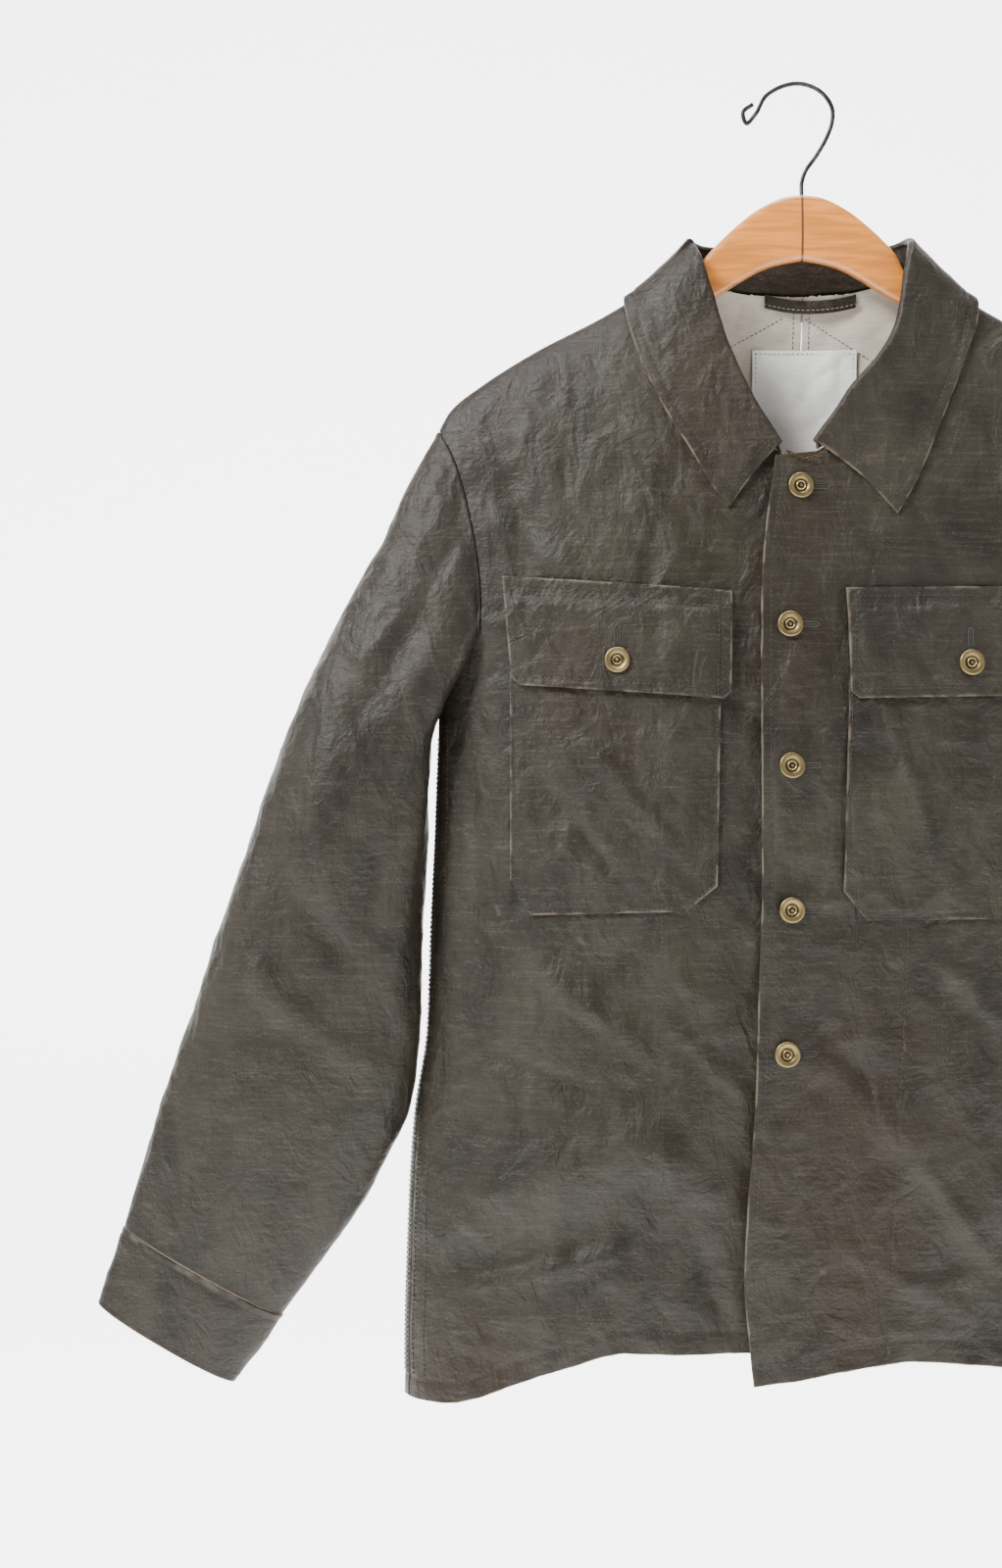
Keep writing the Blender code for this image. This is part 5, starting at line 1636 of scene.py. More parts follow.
@dataclass
class ChestPocket:
    """A patch pocket with its buttoned flap."""

    wardrobe: Wardrobe
    side: Side
    grid: Grid
    pocket_inset: float = 0.0024
    flap_top_inset: float = 0.0115
    flap_inset: float = 0.006
    sag: float = 0.0016

    def patch(self, outline: Sequence[Pair]) -> bmesh.types.BMesh:
        """The part of the front inside an outline, in fine cells.

        Args:
            outline: The outline's corners.

        Returns:
            The cells.
        """
        x, z = self.grid[..., 0], self.grid[..., 2]
        corners = np.array(outline)
        low, high = corners.min(0) - 0.008, corners.max(0) + 0.008
        inside = (x > low[0]) & (x < high[0]) & (z > low[1]) & (z < high[1])
        rows, columns = np.where(inside.any(1))[0], np.where(inside.any(0))[0]
        part = self.grid[rows[0]:rows[-1] + 1, columns[0]:columns[-1] + 1]
        mesh = bmesh.new()
        verts = [[mesh.verts.new(p) for p in row] for row in part.tolist()]
        for low_row, high_row in zip(verts, verts[1:]):
            for i in range(len(low_row) - 1):
                mesh.faces.new((low_row[i], low_row[i + 1], high_row[i + 1], high_row[i]))
        bmesh.ops.subdivide_edges(mesh, edges=mesh.edges[:], cuts=1, use_grid_fill=True)
        for (x0, z0), (x1, z1) in zip(outline, (*outline[1:], outline[0])):
            geometry = mesh.verts[:] + mesh.edges[:] + mesh.faces[:]
            bmesh.ops.bisect_plane(
                mesh, geom=geometry, dist=1e-6, plane_co=(x0, 0, z0),
                plane_no=(-(z1 - z0), 0, x1 - x0), clear_outer=True,
            )
        return mesh

    def lay(self, name: str, outline: Sequence[Pair], insets: Sequence[float], offset: Callable,
            thickness: float) -> bpy.types.Object:
        """Makes a patch moved out from the front, with turned and stitched edges.

        Args:
            name: The piece's name.
            outline: Its corners in the front view.
            insets: How far in each side is stitched.
            offset: Gives the distance off the front at a place.
            thickness: Its wall.

        Returns:
            The new object.
        """
        mesh = self.patch(outline)
        mesh.verts.index_update()
        base = np.array([v.co for v in mesh.verts])
        faces = [[v.index for v in face.verts] for face in mesh.faces]
        rim = [(e.verts[0].index, e.verts[1].index) for e in mesh.edges if e.is_boundary]
        mesh.free()
        x, z = base[:, 0], base[:, 2]
        distance = outline_distance(x, z, outline)
        nearest = distance.min(0)
        lift = np.zeros(len(x))
        for row, inset in zip(distance, insets):
            lift += stitched_edge(row, inset, 0.0003, 0.0005)
        lift *= ease(nearest / 0.0012 + 0.3)
        under = base - np.array([0, 1, 0]) * offset(x, z)[:, None]
        outer = under - np.array([0, 1, 0]) * (thickness + lift)[:, None]
        count = len(base)
        walls = [(a, b, b + count, a + count) for a, b in rim]
        every = faces + [[v + count for v in face] for face in faces] + walls
        wear = np.concatenate([np.zeros(count), (1.15 - nearest / 0.0024).clip(0, 1)])
        materials = (self.wardrobe.outside,)
        piece = finished(name, np.concatenate([under, outer]), every, materials, wear=wear)
        fix = bmesh.new()
        fix.from_mesh(piece.data)
        bmesh.ops.recalc_face_normals(fix, faces=fix.faces)
        fix.to_mesh(piece.data)
        fix.free()
        return piece

    def build(self) -> tuple[list[bpy.types.Object], list[list[Pair]]]:
        """Makes the pocket and its flap and returns them with their stitch lines."""
        word = self.side.word
        pocket_lines, flap_lines = POCKETS[word], FLAPS[word]
        bag = self.lay(
            f"pocket_{word}_cloth", pocket_lines, [self.pocket_inset] * 6,
            lambda x, z: LOOSE_GAP + self.sag * bell(z + 0.49, 0.05) * bell(x - np.mean(x), 0.06), WALL,
        )
        (x0, z0), (x1, z1) = flap_lines[:2]

        def ramp(x: Grid, z: Grid) -> Grid:
            """How far the flap stands off the front."""
            below = z0 + (z1 - z0) / (x1 - x0) * (x - x0) - z
            return LOOSE_GAP + (WALL + LOOSE_GAP + 0.0012) * ease((below - 0.006) / 0.014)

        insets = [self.flap_top_inset, *[self.flap_inset] * 5]
        flap = self.lay(f"pocket_flap_{word}_cloth", flap_lines, insets, ramp, DOUBLE_WALL)
        for piece, node, flat in ((bag, "pocket", (0.155, 0.20)), (flap, "pocket_flap", (0.165, 0.077))):
            dress(piece, f"{node}_{word}")
        bag_seam = inset_outline(pocket_lines, [self.pocket_inset] * 6)
        flap_seam = inset_outline(flap_lines, [self.flap_inset] * 6)
        seams = [bag_seam[1:] + bag_seam[:1], flap_seam + flap_seam[:1]]
        drop = self.flap_top_inset
        seams.append([(x0 + 0.002, z0 - drop), (x1 - 0.002, z1 - drop)])
        return [bag, flap], seams


@dataclass
class Needlework:
    """Rows of stitches, made by one Geometry Nodes tree along paths."""

    wardrobe: Wardrobe
    pitch: float = 0.0033
    length: float = 0.0024
    radius: float = 0.00034

    def tree(self) -> bpy.types.NodeTree:
        """Builds the tree: a long bead at every step of each path."""
        tree = bpy.data.node_groups.new("stitch_row", "GeometryNodeTree")
        face = tree.interface
        face.new_socket("Paths", in_out="INPUT", socket_type="NodeSocketGeometry")
        for name in ("Pitch", "Stitch Length", "Thread Radius"):
            face.new_socket(name, in_out="INPUT", socket_type="NodeSocketFloat")
        face.new_socket("Thread", in_out="INPUT", socket_type="NodeSocketMaterial")
        face.new_socket("Stitches", in_out="OUTPUT", socket_type="NodeSocketGeometry")
        add = tree.nodes.new
        start, end = add("NodeGroupInput"), add("NodeGroupOutput")
        curve, steps = add("GeometryNodeMeshToCurve"), add("GeometryNodeResampleCurve")
        steps.mode = "LENGTH"
        bead, half = add("GeometryNodeMeshUVSphere"), add("ShaderNodeMath")
        size = add("ShaderNodeCombineXYZ")
        bead.inputs["Segments"].default_value = 5
        bead.inputs["Rings"].default_value = 4
        bead.inputs["Radius"].default_value = 1.0
        half.operation = "MULTIPLY"
        half.inputs[1].default_value = 0.5
        tangent, turn = add("GeometryNodeInputTangent"), add("FunctionNodeAlignRotationToVector")
        turn.axis = "Z"
        place, real = add("GeometryNodeInstanceOnPoints"), add("GeometryNodeRealizeInstances")
        paint = add("GeometryNodeSetMaterial")
        links = (
            (start.outputs["Paths"], curve.inputs["Mesh"]),
            (curve.outputs["Curve"], steps.inputs["Curve"]),
            (start.outputs["Pitch"], steps.inputs["Length"]),
            (start.outputs["Stitch Length"], half.inputs[0]),
            (start.outputs["Thread Radius"], size.inputs["X"]),
            (start.outputs["Thread Radius"], size.inputs["Y"]),
            (half.outputs[0], size.inputs["Z"]),
            (tangent.outputs[0], turn.inputs["Vector"]),
            (steps.outputs["Curve"], place.inputs["Points"]),
            (bead.outputs["Mesh"], place.inputs["Instance"]),
            (turn.outputs[0], place.inputs["Rotation"]),
            (size.outputs[0], place.inputs["Scale"]),
            (place.outputs["Instances"], real.inputs["Geometry"]),
            (real.outputs["Geometry"], paint.inputs["Geometry"]),
            (start.outputs["Thread"], paint.inputs["Material"]),
            (paint.outputs["Geometry"], end.inputs["Stitches"]),
        )
        for output, socket in links:
            tree.links.new(output, socket)
        return tree

    def sew(self, name: str, paths: Sequence[Grid], thread: bpy.types.Material, **sizes: float) -> None:
        """Makes one piece of stitching.

        Args:
            name: The piece's name.
            paths: Points of each row of stitches.
            thread: The thread's finish.
            **sizes: Other values for Pitch, Stitch Length or Thread Radius, spaces as underscores.
        """
        points, edges = [], []
        for path in paths:
            start = len(points)
            points.extend(np.asarray(path).tolist())
            edges.extend((i, i + 1) for i in range(start, len(points) - 1))
        data = bpy.data.meshes.new(name)
        data.from_pydata(points, edges, [])
        piece = bpy.data.objects.new(name, data)
        bpy.context.scene.collection.objects.link(piece)
        tree = bpy.data.node_groups.get("stitch_row") or self.tree()
        values = {"Pitch": self.pitch, "Stitch Length": self.length, "Thread Radius": self.radius}
        values.update({key.replace("_", " "): value for key, value in sizes.items()})
        grow(piece, tree, Thread=thread, **values)
        dress(piece)


def grow(piece: bpy.types.Object, tree: bpy.types.NodeTree, **values: object) -> None:
    """Runs a Geometry Nodes tree on a piece and keeps the result as a plain smooth mesh.

    Args:
        piece: The piece, whose mesh holds the paths.
        tree: The tree.
        **values: Its inputs, by name.
    """
    modifier = piece.modifiers.new("grow", "NODES")
    modifier.node_group = tree
    for item in tree.interface.items_tree:
        if item.in_out == "INPUT" and item.name in values:
            modifier[item.identifier] = values[item.name]
    graph = bpy.context.evaluated_depsgraph_get()
    mesh = bpy.data.meshes.new_from_object(piece.evaluated_get(graph), depsgraph=graph)
    piece.modifiers.clear()
    piece.data = mesh
    mesh.shade_smooth()


@dataclass
class MetalButton:
    """A dished metal button with a ring in its recess and a nub at its centre."""

    wardrobe: Wardrobe
    segments: int = 44
    seat_reach: float = 0.007
    seat_gap: float = 0.0002
    profile: tuple = (
        (0.0060, -0.0002, 0.1), (0.0080, 0.0004, 0.2), (0.0086, 0.0011, 0.6), (0.0086, 0.0017, 0.8),
        (0.0083, 0.0023, 0.9), (0.0077, 0.0026, 0.9), (0.0068, 0.0025, 0.7), (0.0056, 0.0022, 0.55),
        (0.0047, 0.0019, 0.35), (0.0043, 0.0013, 0.0), (0.0036, 0.0012, 0.0), (0.0033, 0.0018, 0.5),
        (0.0028, 0.0021, 0.8), (0.0023, 0.0018, 0.5), (0.0019, 0.0010, 0.0), (0.0012, 0.0010, 0.0),
        (0.0010, 0.0018, 0.5), (0.0004, 0.0020, 0.7),
    )

    def build(self, name: str, surface: Surface, x: float, z: float) -> None:
        """Seats a button on the cloth.

        Args:
            name: Its node's name.
            surface: What it lies on.
            x: Its centre across.
            z: Its centre up.
        """
        hit, normal = surface.touch(x, z)
        around = np.linspace(0, 6, 13)
        reach = self.seat_reach
        spots = [surface.touch(x + reach * math.cos(a), z + reach * math.sin(a)) for a in around]
        normal = sum((spot[1] for spot in spots if spot), normal.copy()).normalized()
        proud = max(0.0, *((spot[0] - hit).dot(normal) for spot in spots if spot))
        centre = np.array(hit + normal * (proud + self.seat_gap))
        one = np.array(normal.orthogonal().normalized())
        axis = np.array(normal)
        two = np.cross(axis, one)
        angle = np.linspace(0, 2 * math.pi, self.segments, endpoint=False)[:, None]
        spoke = one * np.cos(angle) + two * np.sin(angle)
        rings = np.array([centre + spoke * r + axis * h for r, h, _ in self.profile])
        count = self.segments
        ends = [centre - axis * self.seat_gap, centre + axis * self.profile[-1][1]]
        points = np.concatenate([rings.reshape(-1, 3), ends])
        back, top, last = len(points) - 2, len(points) - 1, (len(self.profile) - 1) * count
        faces = []
        for i in range(count):
            j = (i + 1) % count
            faces.append((back, j, i))
            faces.append((top, last + i, last + j))
            faces.extend((r + i, r + j, r + count + j, r + count + i) for r in range(0, last, count))
        wear = np.concatenate([np.repeat([w for _, _, w in self.profile], count), [0, 0.7]])
        piece = finished(name + "_metal", points, faces, (self.wardrobe.brass,), wear=wear)
        dress(piece, name, slot="brass")


def back_inside(x: Grid, z: Grid, away: Grid | float) -> Grid:
    """Points in front of the back's inside, where it shows in the neck.

    Args:
        x: Places across.
        z: Places up.
        away: How far in front.

    Returns:
        The points.
    """
    angle = FORM.angle_at(x, z, False)
    point = FORM.cloth(angle, z, Layer.BACK) - FORM.outward(angle, z) * WALL
    return point - np.array([0, 1, 0]) * np.broadcast_to(away, np.shape(x))[..., None]


@dataclass
class NeckTrim:
    """The label, the hanging loop and the short chain at the collar."""

    wardrobe: Wardrobe
    label_x: Pair = (-0.0288, 0.0449)
    label_z: Pair = (-0.268, -0.177)
    label_wall: float = 0.0008
    loop_x: Pair = (-0.0210, 0.0430)
    loop_z: float = -0.1440
    loop_sag: float = 0.0045
    loop_height: float = 0.009
    loop_wall: float = 0.0022
    link_wire: float = 0.00032
    link_pitch: float = 0.0020
    link_radius: float = 0.0010

    def label(self, needle: Needlework) -> None:
        """Makes the bare label with its pale stitches.

        Args:
            needle: Sews it.
        """
        x, z = np.meshgrid(np.linspace(*self.label_x, 40), np.linspace(*self.label_z, 46))
        wave = 0.0012 + 0.0005 * np.sin(x * 90 + z * 40) * ease((z - self.label_z[0]) / 0.03)
        outer = back_inside(x, z, wave + self.label_wall)
        piece = shell("label_cloth", outer, outer + np.array([0, self.label_wall, 0]),
                      (self.wardrobe.label, self.wardrobe.label), push=0.0002)
        dress(piece, "label", slot="label")
        (x0, x1), (z0, z1), d = self.label_x, self.label_z, 0.0025
        corners = [(x0 + d, z1 - d), (x1 - d, z1 - d), (x1 - d, z0 + d), (x0 + d, z0 + d), (x0 + d, z1 - d)]
        path = densify(corners, 0.002)
        row = back_inside(path[:, 0], path[:, 1], 0.0022)
        needle.sew("label_stitches", [row], self.wardrobe.pale_thread)

    def loop(self, needle: Needlework) -> None:
        """Makes the folded strip that hangs a little slack.

        Args:
            needle: Sews it.
        """
        share = np.linspace(-1, 1, 60)
        x = np.mean(self.loop_x) + (self.loop_x[1] - self.loop_x[0]) / 2 * share
        middle = self.loop_z - self.loop_sag * (1 - share**2)
        across = np.array([-0.5, -0.42, -0.2, 0.0, 0.2, 0.42, 0.5])[:, None]
        x, z = np.broadcast_arrays(x, middle + across * self.loop_height)
        away = 0.0005 + 0.003 * (1 - share**2) + 0 * across
        round_off = 0.0006 * (np.abs(across) * 2) ** 4
        outer = back_inside(x, z, away + self.loop_wall - round_off)
        inner = back_inside(x, z, away + round_off)
        wear = 0.8 * (np.abs(across) > 0.45) + 0 * x
        cloth = (self.wardrobe.outside,) * 2
        piece = shell("hanging_loop_cloth", outer, inner, cloth, wear=wear, push=0.0004)
        dress(piece, "hanging_loop")
        path = back_inside(x[3], z[3] - 0.0022, away[3] + self.loop_wall + 0.0002)
        needle.sew("loop_stitches", [path], self.wardrobe.pale_thread)

    def chain_tree(self) -> bpy.types.NodeTree:
        """Builds the tree: a wire ring at every step, each turned a quarter from the last."""
        tree = bpy.data.node_groups.new("link_chain", "GeometryNodeTree")
        face = tree.interface
        face.new_socket("Path", in_out="INPUT", socket_type="NodeSocketGeometry")
        for name in ("Pitch", "Link Radius", "Wire Radius"):
            face.new_socket(name, in_out="INPUT", socket_type="NodeSocketFloat")
        face.new_socket("Metal", in_out="INPUT", socket_type="NodeSocketMaterial")
        face.new_socket("Chain", in_out="OUTPUT", socket_type="NodeSocketGeometry")
        add = tree.nodes.new
        start, end = add("NodeGroupInput"), add("NodeGroupOutput")
        curve, steps = add("GeometryNodeMeshToCurve"), add("GeometryNodeResampleCurve")
        steps.mode = "LENGTH"
        ring, wire = add("GeometryNodeCurvePrimitiveCircle"), add("GeometryNodeCurvePrimitiveCircle")
        ring.inputs["Resolution"].default_value = 14
        wire.inputs["Resolution"].default_value = 6
        link, stretch = add("GeometryNodeCurveToMesh"), add("GeometryNodeTransform")
        stretch.inputs["Scale"].default_value = (1.35, 1, 1)
        tangent, turn = add("GeometryNodeInputTangent"), add("FunctionNodeAlignRotationToVector")
        turn.axis = "X"
        index, odd, roll = add("GeometryNodeInputIndex"), add("ShaderNodeMath"), add("ShaderNodeMath")
        odd.operation, roll.operation = "MODULO", "MULTIPLY"
        odd.inputs[1].default_value = 2
        roll.inputs[1].default_value = math.pi / 2
        euler, rotate = add("ShaderNodeCombineXYZ"), add("FunctionNodeRotateRotation")
        rotate.rotation_space = "LOCAL"
        place, real = add("GeometryNodeInstanceOnPoints"), add("GeometryNodeRealizeInstances")
        paint = add("GeometryNodeSetMaterial")
        links = (
            (start.outputs["Path"], curve.inputs["Mesh"]),
            (curve.outputs["Curve"], steps.inputs["Curve"]),
            (start.outputs["Pitch"], steps.inputs["Length"]),
            (start.outputs["Link Radius"], ring.inputs["Radius"]),
            (start.outputs["Wire Radius"], wire.inputs["Radius"]),
            (ring.outputs["Curve"], link.inputs["Curve"]),
            (wire.outputs["Curve"], link.inputs["Profile Curve"]),
            (link.outputs["Mesh"], stretch.inputs["Geometry"]),
            (tangent.outputs[0], turn.inputs["Vector"]),
            (index.outputs[0], odd.inputs[0]),
            (odd.outputs[0], roll.inputs[0]),
            (roll.outputs[0], euler.inputs["X"]),
            (turn.outputs[0], rotate.inputs["Rotation"]),
            (euler.outputs[0], rotate.inputs["Rotate By"]),
            (steps.outputs["Curve"], place.inputs["Points"]),
            (stretch.outputs["Geometry"], place.inputs["Instance"]),
            (rotate.outputs[0], place.inputs["Rotation"]),
            (place.outputs["Instances"], real.inputs["Geometry"]),
            (real.outputs["Geometry"], paint.inputs["Geometry"]),
            (start.outputs["Metal"], paint.inputs["Material"]),
            (paint.outputs["Geometry"], end.inputs["Chain"]),
        )
        for output, socket in links:
            tree.links.new(output, socket)
        return tree

    def chain(self) -> None:
        """Makes the chain of small rings."""
        x, z = CHAIN["x"], CHAIN["z"]
        y = FORM.cloth(FORM.angle_at(x, z), z, Layer.TOP)[:, 1] - CHAIN["out"]
        path = curve_through(np.stack([x, y, z], -1), 40)
        data = bpy.data.meshes.new("collar_chain_links")
        data.from_pydata(path.tolist(), [(i, i + 1) for i in range(len(path) - 1)], [])
        piece = bpy.data.objects.new("collar_chain_links", data)
        bpy.context.scene.collection.objects.link(piece)
        tree = self.chain_tree()
        values = {"Pitch": self.link_pitch, "Link Radius": self.link_radius, "Wire Radius": self.link_wire}
        grow(piece, tree, Metal=self.wardrobe.brass, **values)
        dress(piece, "collar_chain", slot="brass")


def densify(corners: Sequence[Pair], step: float) -> Grid:
    """Points every step along straight runs between corners.

    Args:
        corners: Corners of the path.
        step: The most between two points.

    Returns:
        The points.
    """
    points = []
    for a, b in zip(np.array(corners), np.array(corners)[1:]):
        count = max(2, int(np.linalg.norm(b - a) / step) + 1)
        points.extend(a + (b - a) * t for t in np.linspace(0, 1, count))
    return np.array(points)


def curve_through(points: Grid, count: int) -> Grid:
    """Points of a smooth curve through a few of its own.

    Args:
        points: The points to pass.
        count: How many to return.

    Returns:
        The points of the curve.
    """
    path = np.array(points, float)
    length = np.concatenate([[0], np.cumsum(np.linalg.norm(np.diff(path, axis=0), axis=1))])
    at = np.linspace(0, length[-1], count)
    slope = np.gradient(path, length, axis=0)
    i = np.clip(np.searchsorted(length, at, side="right") - 1, 0, len(length) - 2)
    step = (length[i + 1] - length[i])[:, None]
    t = (at - length[i])[:, None] / step
    start = (1 + 2 * t) * (1 - t) ** 2 * path[i] + t * (1 - t) ** 2 * step * slope[i]
    end = t * t * (3 - 2 * t) * path[i + 1] - t * t * (1 - t) * step * slope[i + 1]
    return start + end


def tube_mesh(rings: Grid) -> tuple[Grid, list]:
    """Joins rings of points into a closed tube that faces outwards.

    Args:
        rings: Points of each ring in turn.

    Returns:
        The points and the faces.
    """
    count = rings.shape[1]
    last = (len(rings) - 1) * count
    faces = []
    for start in range(0, last, count):
        for i in range(count):
            j = (i + 1) % count
            faces.append((start + i, start + j, start + count + j, start + count + i))
    points = rings.reshape(-1, 3)
    inside_out = volume(points, np.array(faces)) < 0
    faces += [tuple(range(count))[::-1], tuple(range(last, last + count))]
    if inside_out:
        faces = [face[::-1] for face in faces]
    return points, faces


@dataclass
class Hanger:
    """A sawn wooden bar with a wire hook."""

    wardrobe: Wardrobe
    half: float = 0.0052
    clearance: float = 0.0033
    end: float = 0.215
    centre: float = 0.002
    crown_end: float = 0.0715
    blend: Pair = (0.066, 0.0085)
    dip: tuple = (0.0026, 0.075, 0.006)
    tip: Pair = (0.006, 0.012)
    wire: float = 0.0015

    def top(self, x: Grid) -> Grid:
        """The bar's upper edge.

        Args:
            x: Places across.

        Returns:
            Heights.
        """
        crown = smooth(np.minimum(np.abs(x - self.centre), self.crown_end), CROWN["x"], CROWN["z"])
        arm = FORM.ridge(x) - self.clearance - self.dip[0] * bell(np.abs(x) - self.dip[1], self.dip[2])
        share = ease((np.abs(x) - self.blend[0]) / self.blend[1])
        tip = self.tip[0] * ease((np.abs(x) - self.end) / self.tip[1] + 1)
        return crown * (1 - share) + arm * share - tip

    def bar(self) -> None:
        """Makes the bar, flat on its faces and rounded over along its edges."""
        stations = np.linspace(-self.end, self.end, 161)
        turn = np.linspace(0, 2 * math.pi, 40, endpoint=False)
        high = self.top(stations)
        low = smooth(np.abs(stations - self.centre), BAR_UNDER["x"], BAR_UNDER["z"])
        flat_y = np.sign(np.cos(turn)) * np.abs(np.cos(turn)) ** 0.62
        flat_z = np.sign(np.sin(turn)) * np.abs(np.sin(turn)) ** 0.90
        shown = 1 - 0.35 * ease((np.abs(stations) - 0.062) / 0.008)[:, None]
        y = self.half * (np.cos(turn) * (1 - shown) + flat_y * shown)
        z = ((high + low) / 2)[:, None] + ((high - low) / 2)[:, None] * flat_z
        rings = np.stack([np.broadcast_to(stations[:, None], z.shape), y, z], -1)
        points, faces = tube_mesh(rings)
        bar = finished("hanger_bar_wood", points, faces, (self.wardrobe.wood,))
        dress(bar, "hanger_bar", slot="wood")

    def hook(self) -> None:
        """Makes the bent wire as a tube along its smooth path."""
        path = curve_through(np.array([(x, 0.0, z) for x, z in zip(HOOK["x"], HOOK["z"])]), 150)
        way = unit(np.gradient(path, axis=0))
        side = np.array([0.0, 1.0, 0.0])
        turn = np.linspace(0, 2 * math.pi, 14, endpoint=False)[None, :, None]
        up = np.cross(way, side)[:, None]
        rings = path[:, None] + self.wire * (np.cos(turn) * side + np.sin(turn) * up)
        points, faces = tube_mesh(rings)
        hook = finished("hanger_hook_wire", points, faces, (self.wardrobe.wire,))
        dress(hook, "hanger_hook", slot="steel")


@dataclass
class Seams:
    """Every row of stitches on the jacket and its buttonholes."""

    needle: Needlework
    surface: Surface
    outside: dict
    lift: float = 0.00018
    edge_inset: float = 0.0062
    hem_inset: float = 0.0140
    hole_length: float = 0.0178
    flap_hole_length: float = 0.0215
    hole_half: float = 0.0016

    def panels(self, darts: dict) -> None:
        """Sews the closure, the hem, the darts and the side and back seams.

        Args:
            darts: Top and bottom of each dart.
        """
        z = np.linspace(-0.872, -0.270, 120)
        x = smooth(z, LAP_EDGE["z"], LAP_EDGE["x"]) + self.edge_inset
        rows = [self.surface.follow(list(zip(x, z)), self.lift)]
        for hem, x0, x1 in ((HEM_RIGHT, -0.262, -0.046), (HEM_LEFT, -0.036, 0.262)):
            x = np.linspace(x0, x1, 60)
            z = smooth(x, hem["x"], hem["z"]) + self.hem_inset
            rows.append(self.surface.follow(list(zip(x, z)), self.lift))
        for top, bottom in darts.values():
            rows.append(self.surface.follow([top, bottom], self.lift))
        self.needle.sew("front_stitches", rows, self.needle.wardrobe.thread)
        rows = []
        x = np.linspace(-0.262, 0.262, 90)
        z = smooth(np.abs(x), HEM_BACK["x"], HEM_BACK["z"]) + self.hem_inset
        rows.append(self.surface.follow(list(zip(x, z)), self.lift, front=False))
        for x in (0.001, 0.011):
            rows.append(self.surface.follow([(x, -0.870), (x, -0.165)], self.lift, front=False))
        for grid in self.outside.values():
            for column in (-3, -8):
                edge = grid[8:114, column]
                rows.append(edge + unit(edge - np.array([0, 0, 1]) * edge[:, 2:]) * self.lift * 2)
        self.needle.sew("seam_stitches", rows, self.needle.wardrobe.thread)

    def collar(self, visible: Grid, inset: float = 0.008) -> None:
        """Sews along the collar's ends and outer edge.

        Args:
            visible: The collar's visible points.
            inset: How far in it is sewn.
        """
        normal = unit(np.cross(np.gradient(visible, axis=0), np.gradient(visible, axis=1)))
        lifted = visible + normal * self.lift
        length = np.linalg.norm(np.diff(visible, axis=1), axis=2)
        to_edge = np.concatenate([np.cumsum(length[:, ::-1], 1)[:, ::-1], np.zeros((len(visible), 1))], 1)
        along = np.concatenate([[0], np.cumsum(np.linalg.norm(np.diff(visible[:, -12], axis=0), axis=1))])
        end = [int(np.argmin(np.abs(along - inset))), int(np.argmin(np.abs(along[-1] - inset - along)))]
        columns = np.argmin(np.abs(to_edge - inset), axis=1)
        path = [lifted[end[0], c] for c in range(21, columns[end[0]])]
        path += [lifted[r, columns[r]] for r in range(end[0], end[1] + 1)]
        path += [lifted[end[1], c] for c in range(columns[end[1]], 20, -1)]
        self.needle.sew("collar_stitches", [np.array(path)], self.needle.wardrobe.thread)

    def cuffs(self, grids: Iterable[Grid]) -> None:
        """Sews two rows round each cuff.

        Args:
            grids: The cuffs' outer points.
        """
        rows = []
        for grid in grids:
            middle = grid.mean(1, keepdims=True)
            out = grid + unit(grid - middle) * self.lift
            rows += [np.vstack([out[r], out[r][:1]]) for r in (4, len(grid) - 5)]
        self.needle.sew("cuff_stitches", rows, self.needle.wardrobe.thread)

    def pockets(self, lines: Iterable[Sequence[Pair]]) -> None:
        """Sews the pockets and flaps."""
        rows = [self.surface.follow(list(line), self.lift) for line in lines]
        self.needle.sew("pocket_stitches", rows, self.needle.wardrobe.thread)

    def inside(self) -> None:
        """Sews the lines that show inside the neck."""
        runs = (
            [(0.0001, -0.145), (0.0001, -0.300)],
            [(0.0111, -0.145), (0.0111, -0.300)],
            [(-0.0089, -0.1556), (-0.0468, -0.1763)],
            [(0.0090, -0.1556), (0.0587, -0.1866)],
        )
        rows = []
        for run in runs:
            path = densify(run, 0.002)
            rows.append(back_inside(path[:, 0], path[:, 1], 0.0003))
        self.needle.sew("inside_stitches", rows, self.needle.wardrobe.thread)

    def buttonholes(self) -> None:
        """Works each hole as a thick corded oval with a dark slit."""
        rims, slits = [], []
        holes = [(x, z, self.hole_length, 0.0) for x, z in zip(FRONT_BUTTONS["x"], FRONT_BUTTONS["z"])]
        holes += [(x, z, 0.0, self.flap_hole_length) for x, z in POCKET_BUTTONS.values()]
        for x, z, across, up in holes:
            run = np.array([across, up])
            way = run / np.linalg.norm(run)
            side = np.array([-way[1], way[0]]) * self.hole_half
            start, end = np.array([x, z]), np.array([x, z]) + run
            tip = way * self.hole_half
            cap = [end + tip * math.sin(a) + side * math.cos(a) for a in np.linspace(0, math.pi, 7)]
            path = [tuple(start + side), *map(tuple, cap), tuple(start - side)]
            rims.append(self.surface.follow(path, 0.0002, step=0.0008))
            slits.append(self.surface.follow([tuple(start), tuple(end)], 0.0001, step=0.001))
        thread = self.needle.wardrobe.thread
        cord = {"Pitch": 0.00062, "Stitch_Length": 0.0012, "Thread_Radius": 0.00052}
        slit = {"Pitch": 0.0008, "Stitch_Length": 0.0016, "Thread_Radius": 0.0005}
        self.needle.sew("buttonhole_cords", rims, thread, **cord)
        self.needle.sew("buttonhole_slits", slits, thread, **slit)


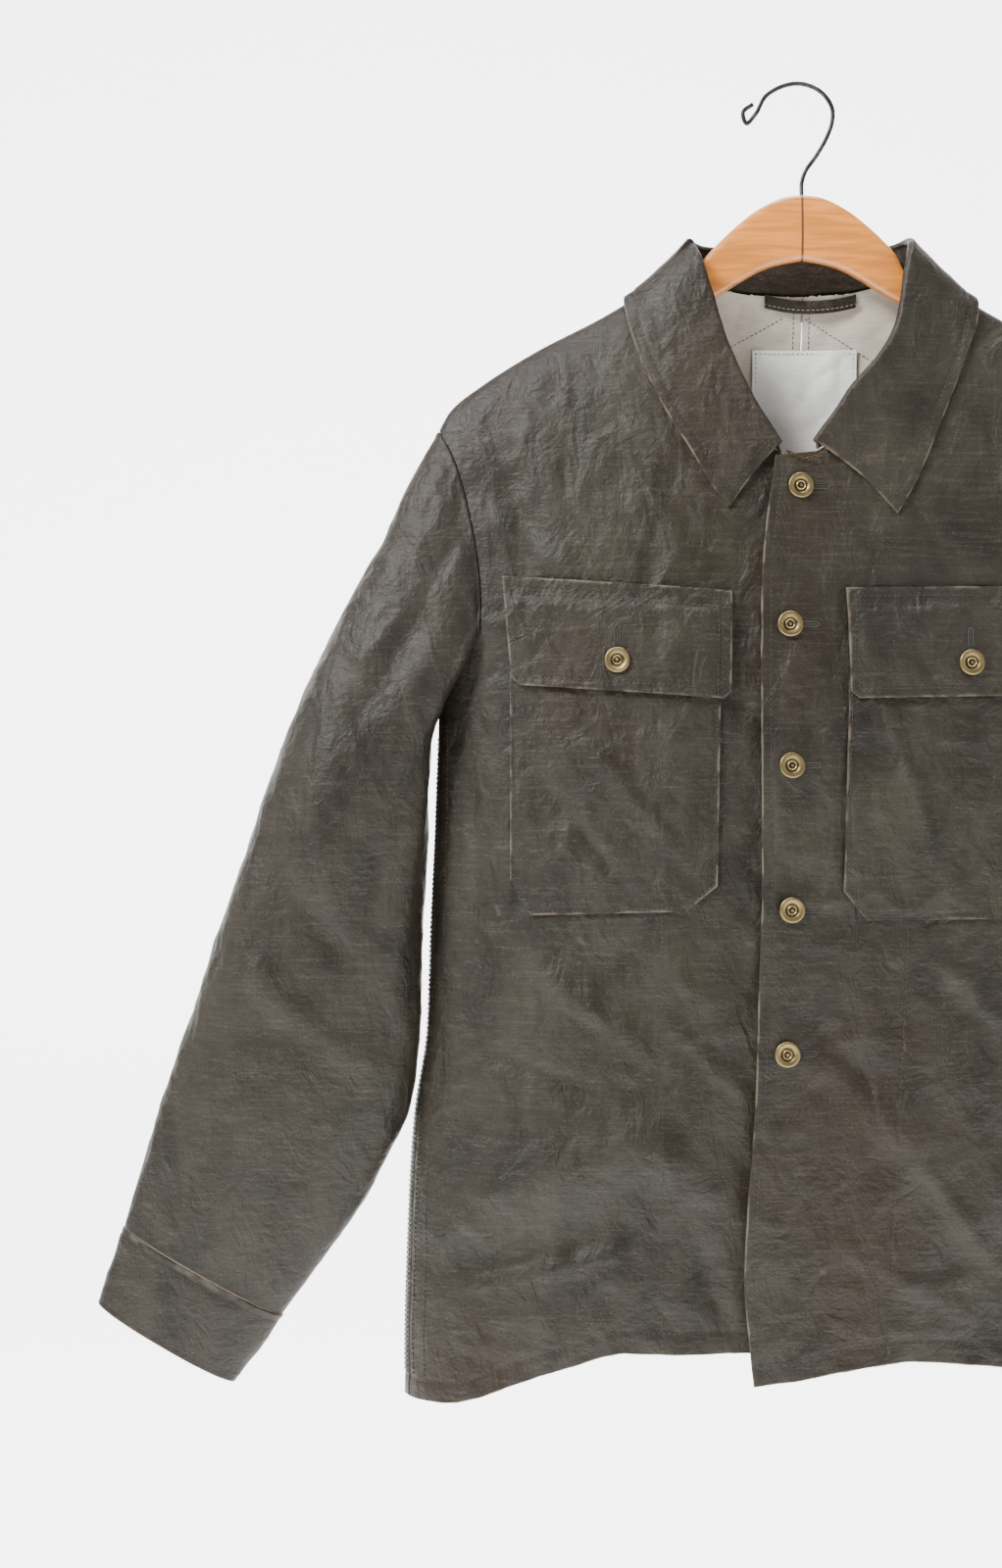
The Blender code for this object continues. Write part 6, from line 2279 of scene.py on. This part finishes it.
@dataclass
class Studio:
    """Pale sweep, soft lights and the camera of the photograph."""

    camera: tuple[float, float, float] = (-0.206, -1.2, -0.483)
    lens: float = 39.8
    floor: float = -1.75
    wall: float = 3.2
    bend: float = 0.9

    def build(self) -> None:
        """Makes the stage."""
        angle = np.linspace(0, math.pi / 2, 14)
        y = np.concatenate([[-4.0], self.wall - self.bend + self.bend * np.sin(angle), [self.wall]])
        z = np.concatenate([[0.0], self.bend - self.bend * np.cos(angle), [5.5]]) + self.floor
        points = np.array([(x, b, c) for b, c in zip(y, z) for x in (-6.0, 6.0)])
        faces = [(2 * i, 2 * i + 1, 2 * i + 3, 2 * i + 2) for i in range(len(y) - 1)]
        dye = Dye("pale_paper")
        dye.shader.inputs["Base Color"].default_value = (0.93, 0.93, 0.93, 1)
        dye.shader.inputs["Roughness"].default_value = 0.9
        dye.shader.inputs["Emission Color"].default_value = (1, 1, 1, 1)
        dye.shader.inputs["Emission Strength"].default_value = 3.2
        sweep = finished("studio_sweep", points, faces, (dye.material,))
        world = bpy.data.worlds.new("soft_room")
        world.use_nodes = True
        world.node_tree.nodes["Background"].inputs["Color"].default_value = (1, 1, 1, 1)
        world.node_tree.nodes["Background"].inputs["Strength"].default_value = 0.35
        bpy.context.scene.world = world
        for name, place, size, power in (
            ("key", (-1.9, -1.5, 1.5), 0.9, 210.0),
            ("fill", (2.1, -1.7, 0.4), 1.6, 16.0),
            ("top", (0.1, -0.2, 1.9), 1.0, 60.0),
        ):
            lamp = bpy.data.lights.new(name, "AREA")
            lamp.size = size
            lamp.energy = power
            light = bpy.data.objects.new(name, lamp)
            light.location = place
            aim = Vector((0, 0, -0.45)) - Vector(place)
            light.rotation_euler = aim.to_track_quat("-Z", "Y").to_euler()
            bpy.context.scene.collection.objects.link(light)
        lens = bpy.data.cameras.new("photo_view")
        lens.lens = self.lens
        lens.sensor_width = 36.0
        view = bpy.data.objects.new("photo_view", lens)
        view.location = self.camera
        view.rotation_euler = (math.pi / 2, 0, 0)
        bpy.context.scene.collection.objects.link(view)
        bpy.context.scene.camera = view


def main() -> None:
    """Builds the jacket, its trims and its stage in order."""
    logging.basicConfig(level=logging.INFO, format="%(name)s %(message)s")
    noise.seed_set(NOISE_SEED)
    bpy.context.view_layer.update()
    wardrobe = Wardrobe()
    trunk = Trunk(wardrobe)
    outside, inside = trunk.build()
    first = int(np.argmin(np.abs(rows_up() - ARMPIT)))
    sleeves, cuffs = [], []
    for side in Side:
        front, back = f"front_{side.word}", f"back_{side.word}"
        arm = Arm(wardrobe, side, (outside[front], inside[front]), (outside[back], inside[back]), first)
        sleeve, cuff = arm.build()
        sleeves.append(sleeve)
        cuffs.append(cuff)
    pieces, lines = [], []
    for side in Side:
        made, seams = ChestPocket(wardrobe, side, outside[f"front_{side.word}"]).build()
        pieces += made
        lines += seams
    visible = Collar(wardrobe).build()
    surface = Surface(outside.values(), pieces)
    button = MetalButton(wardrobe)
    for number, (x, z) in enumerate(zip(FRONT_BUTTONS["x"], FRONT_BUTTONS["z"]), 1):
        button.build(f"button_front_{number}", surface, x, z)
    for word, (x, z) in POCKET_BUTTONS.items():
        button.build(f"button_pocket_{word}", surface, x, z)
    needle = Needlework(wardrobe)
    seams = Seams(needle, surface, outside)
    seams.panels(trunk.darts)
    seams.pockets(lines)
    seams.collar(visible)
    seams.cuffs(cuffs)
    seams.inside()
    seams.buttonholes()
    trim = NeckTrim(wardrobe)
    trim.label(needle)
    trim.loop(needle)
    trim.chain()
    hanger = Hanger(wardrobe)
    hanger.bar()
    hanger.hook()
    Studio().build()
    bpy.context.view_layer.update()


if __name__ == "__main__":
    main()
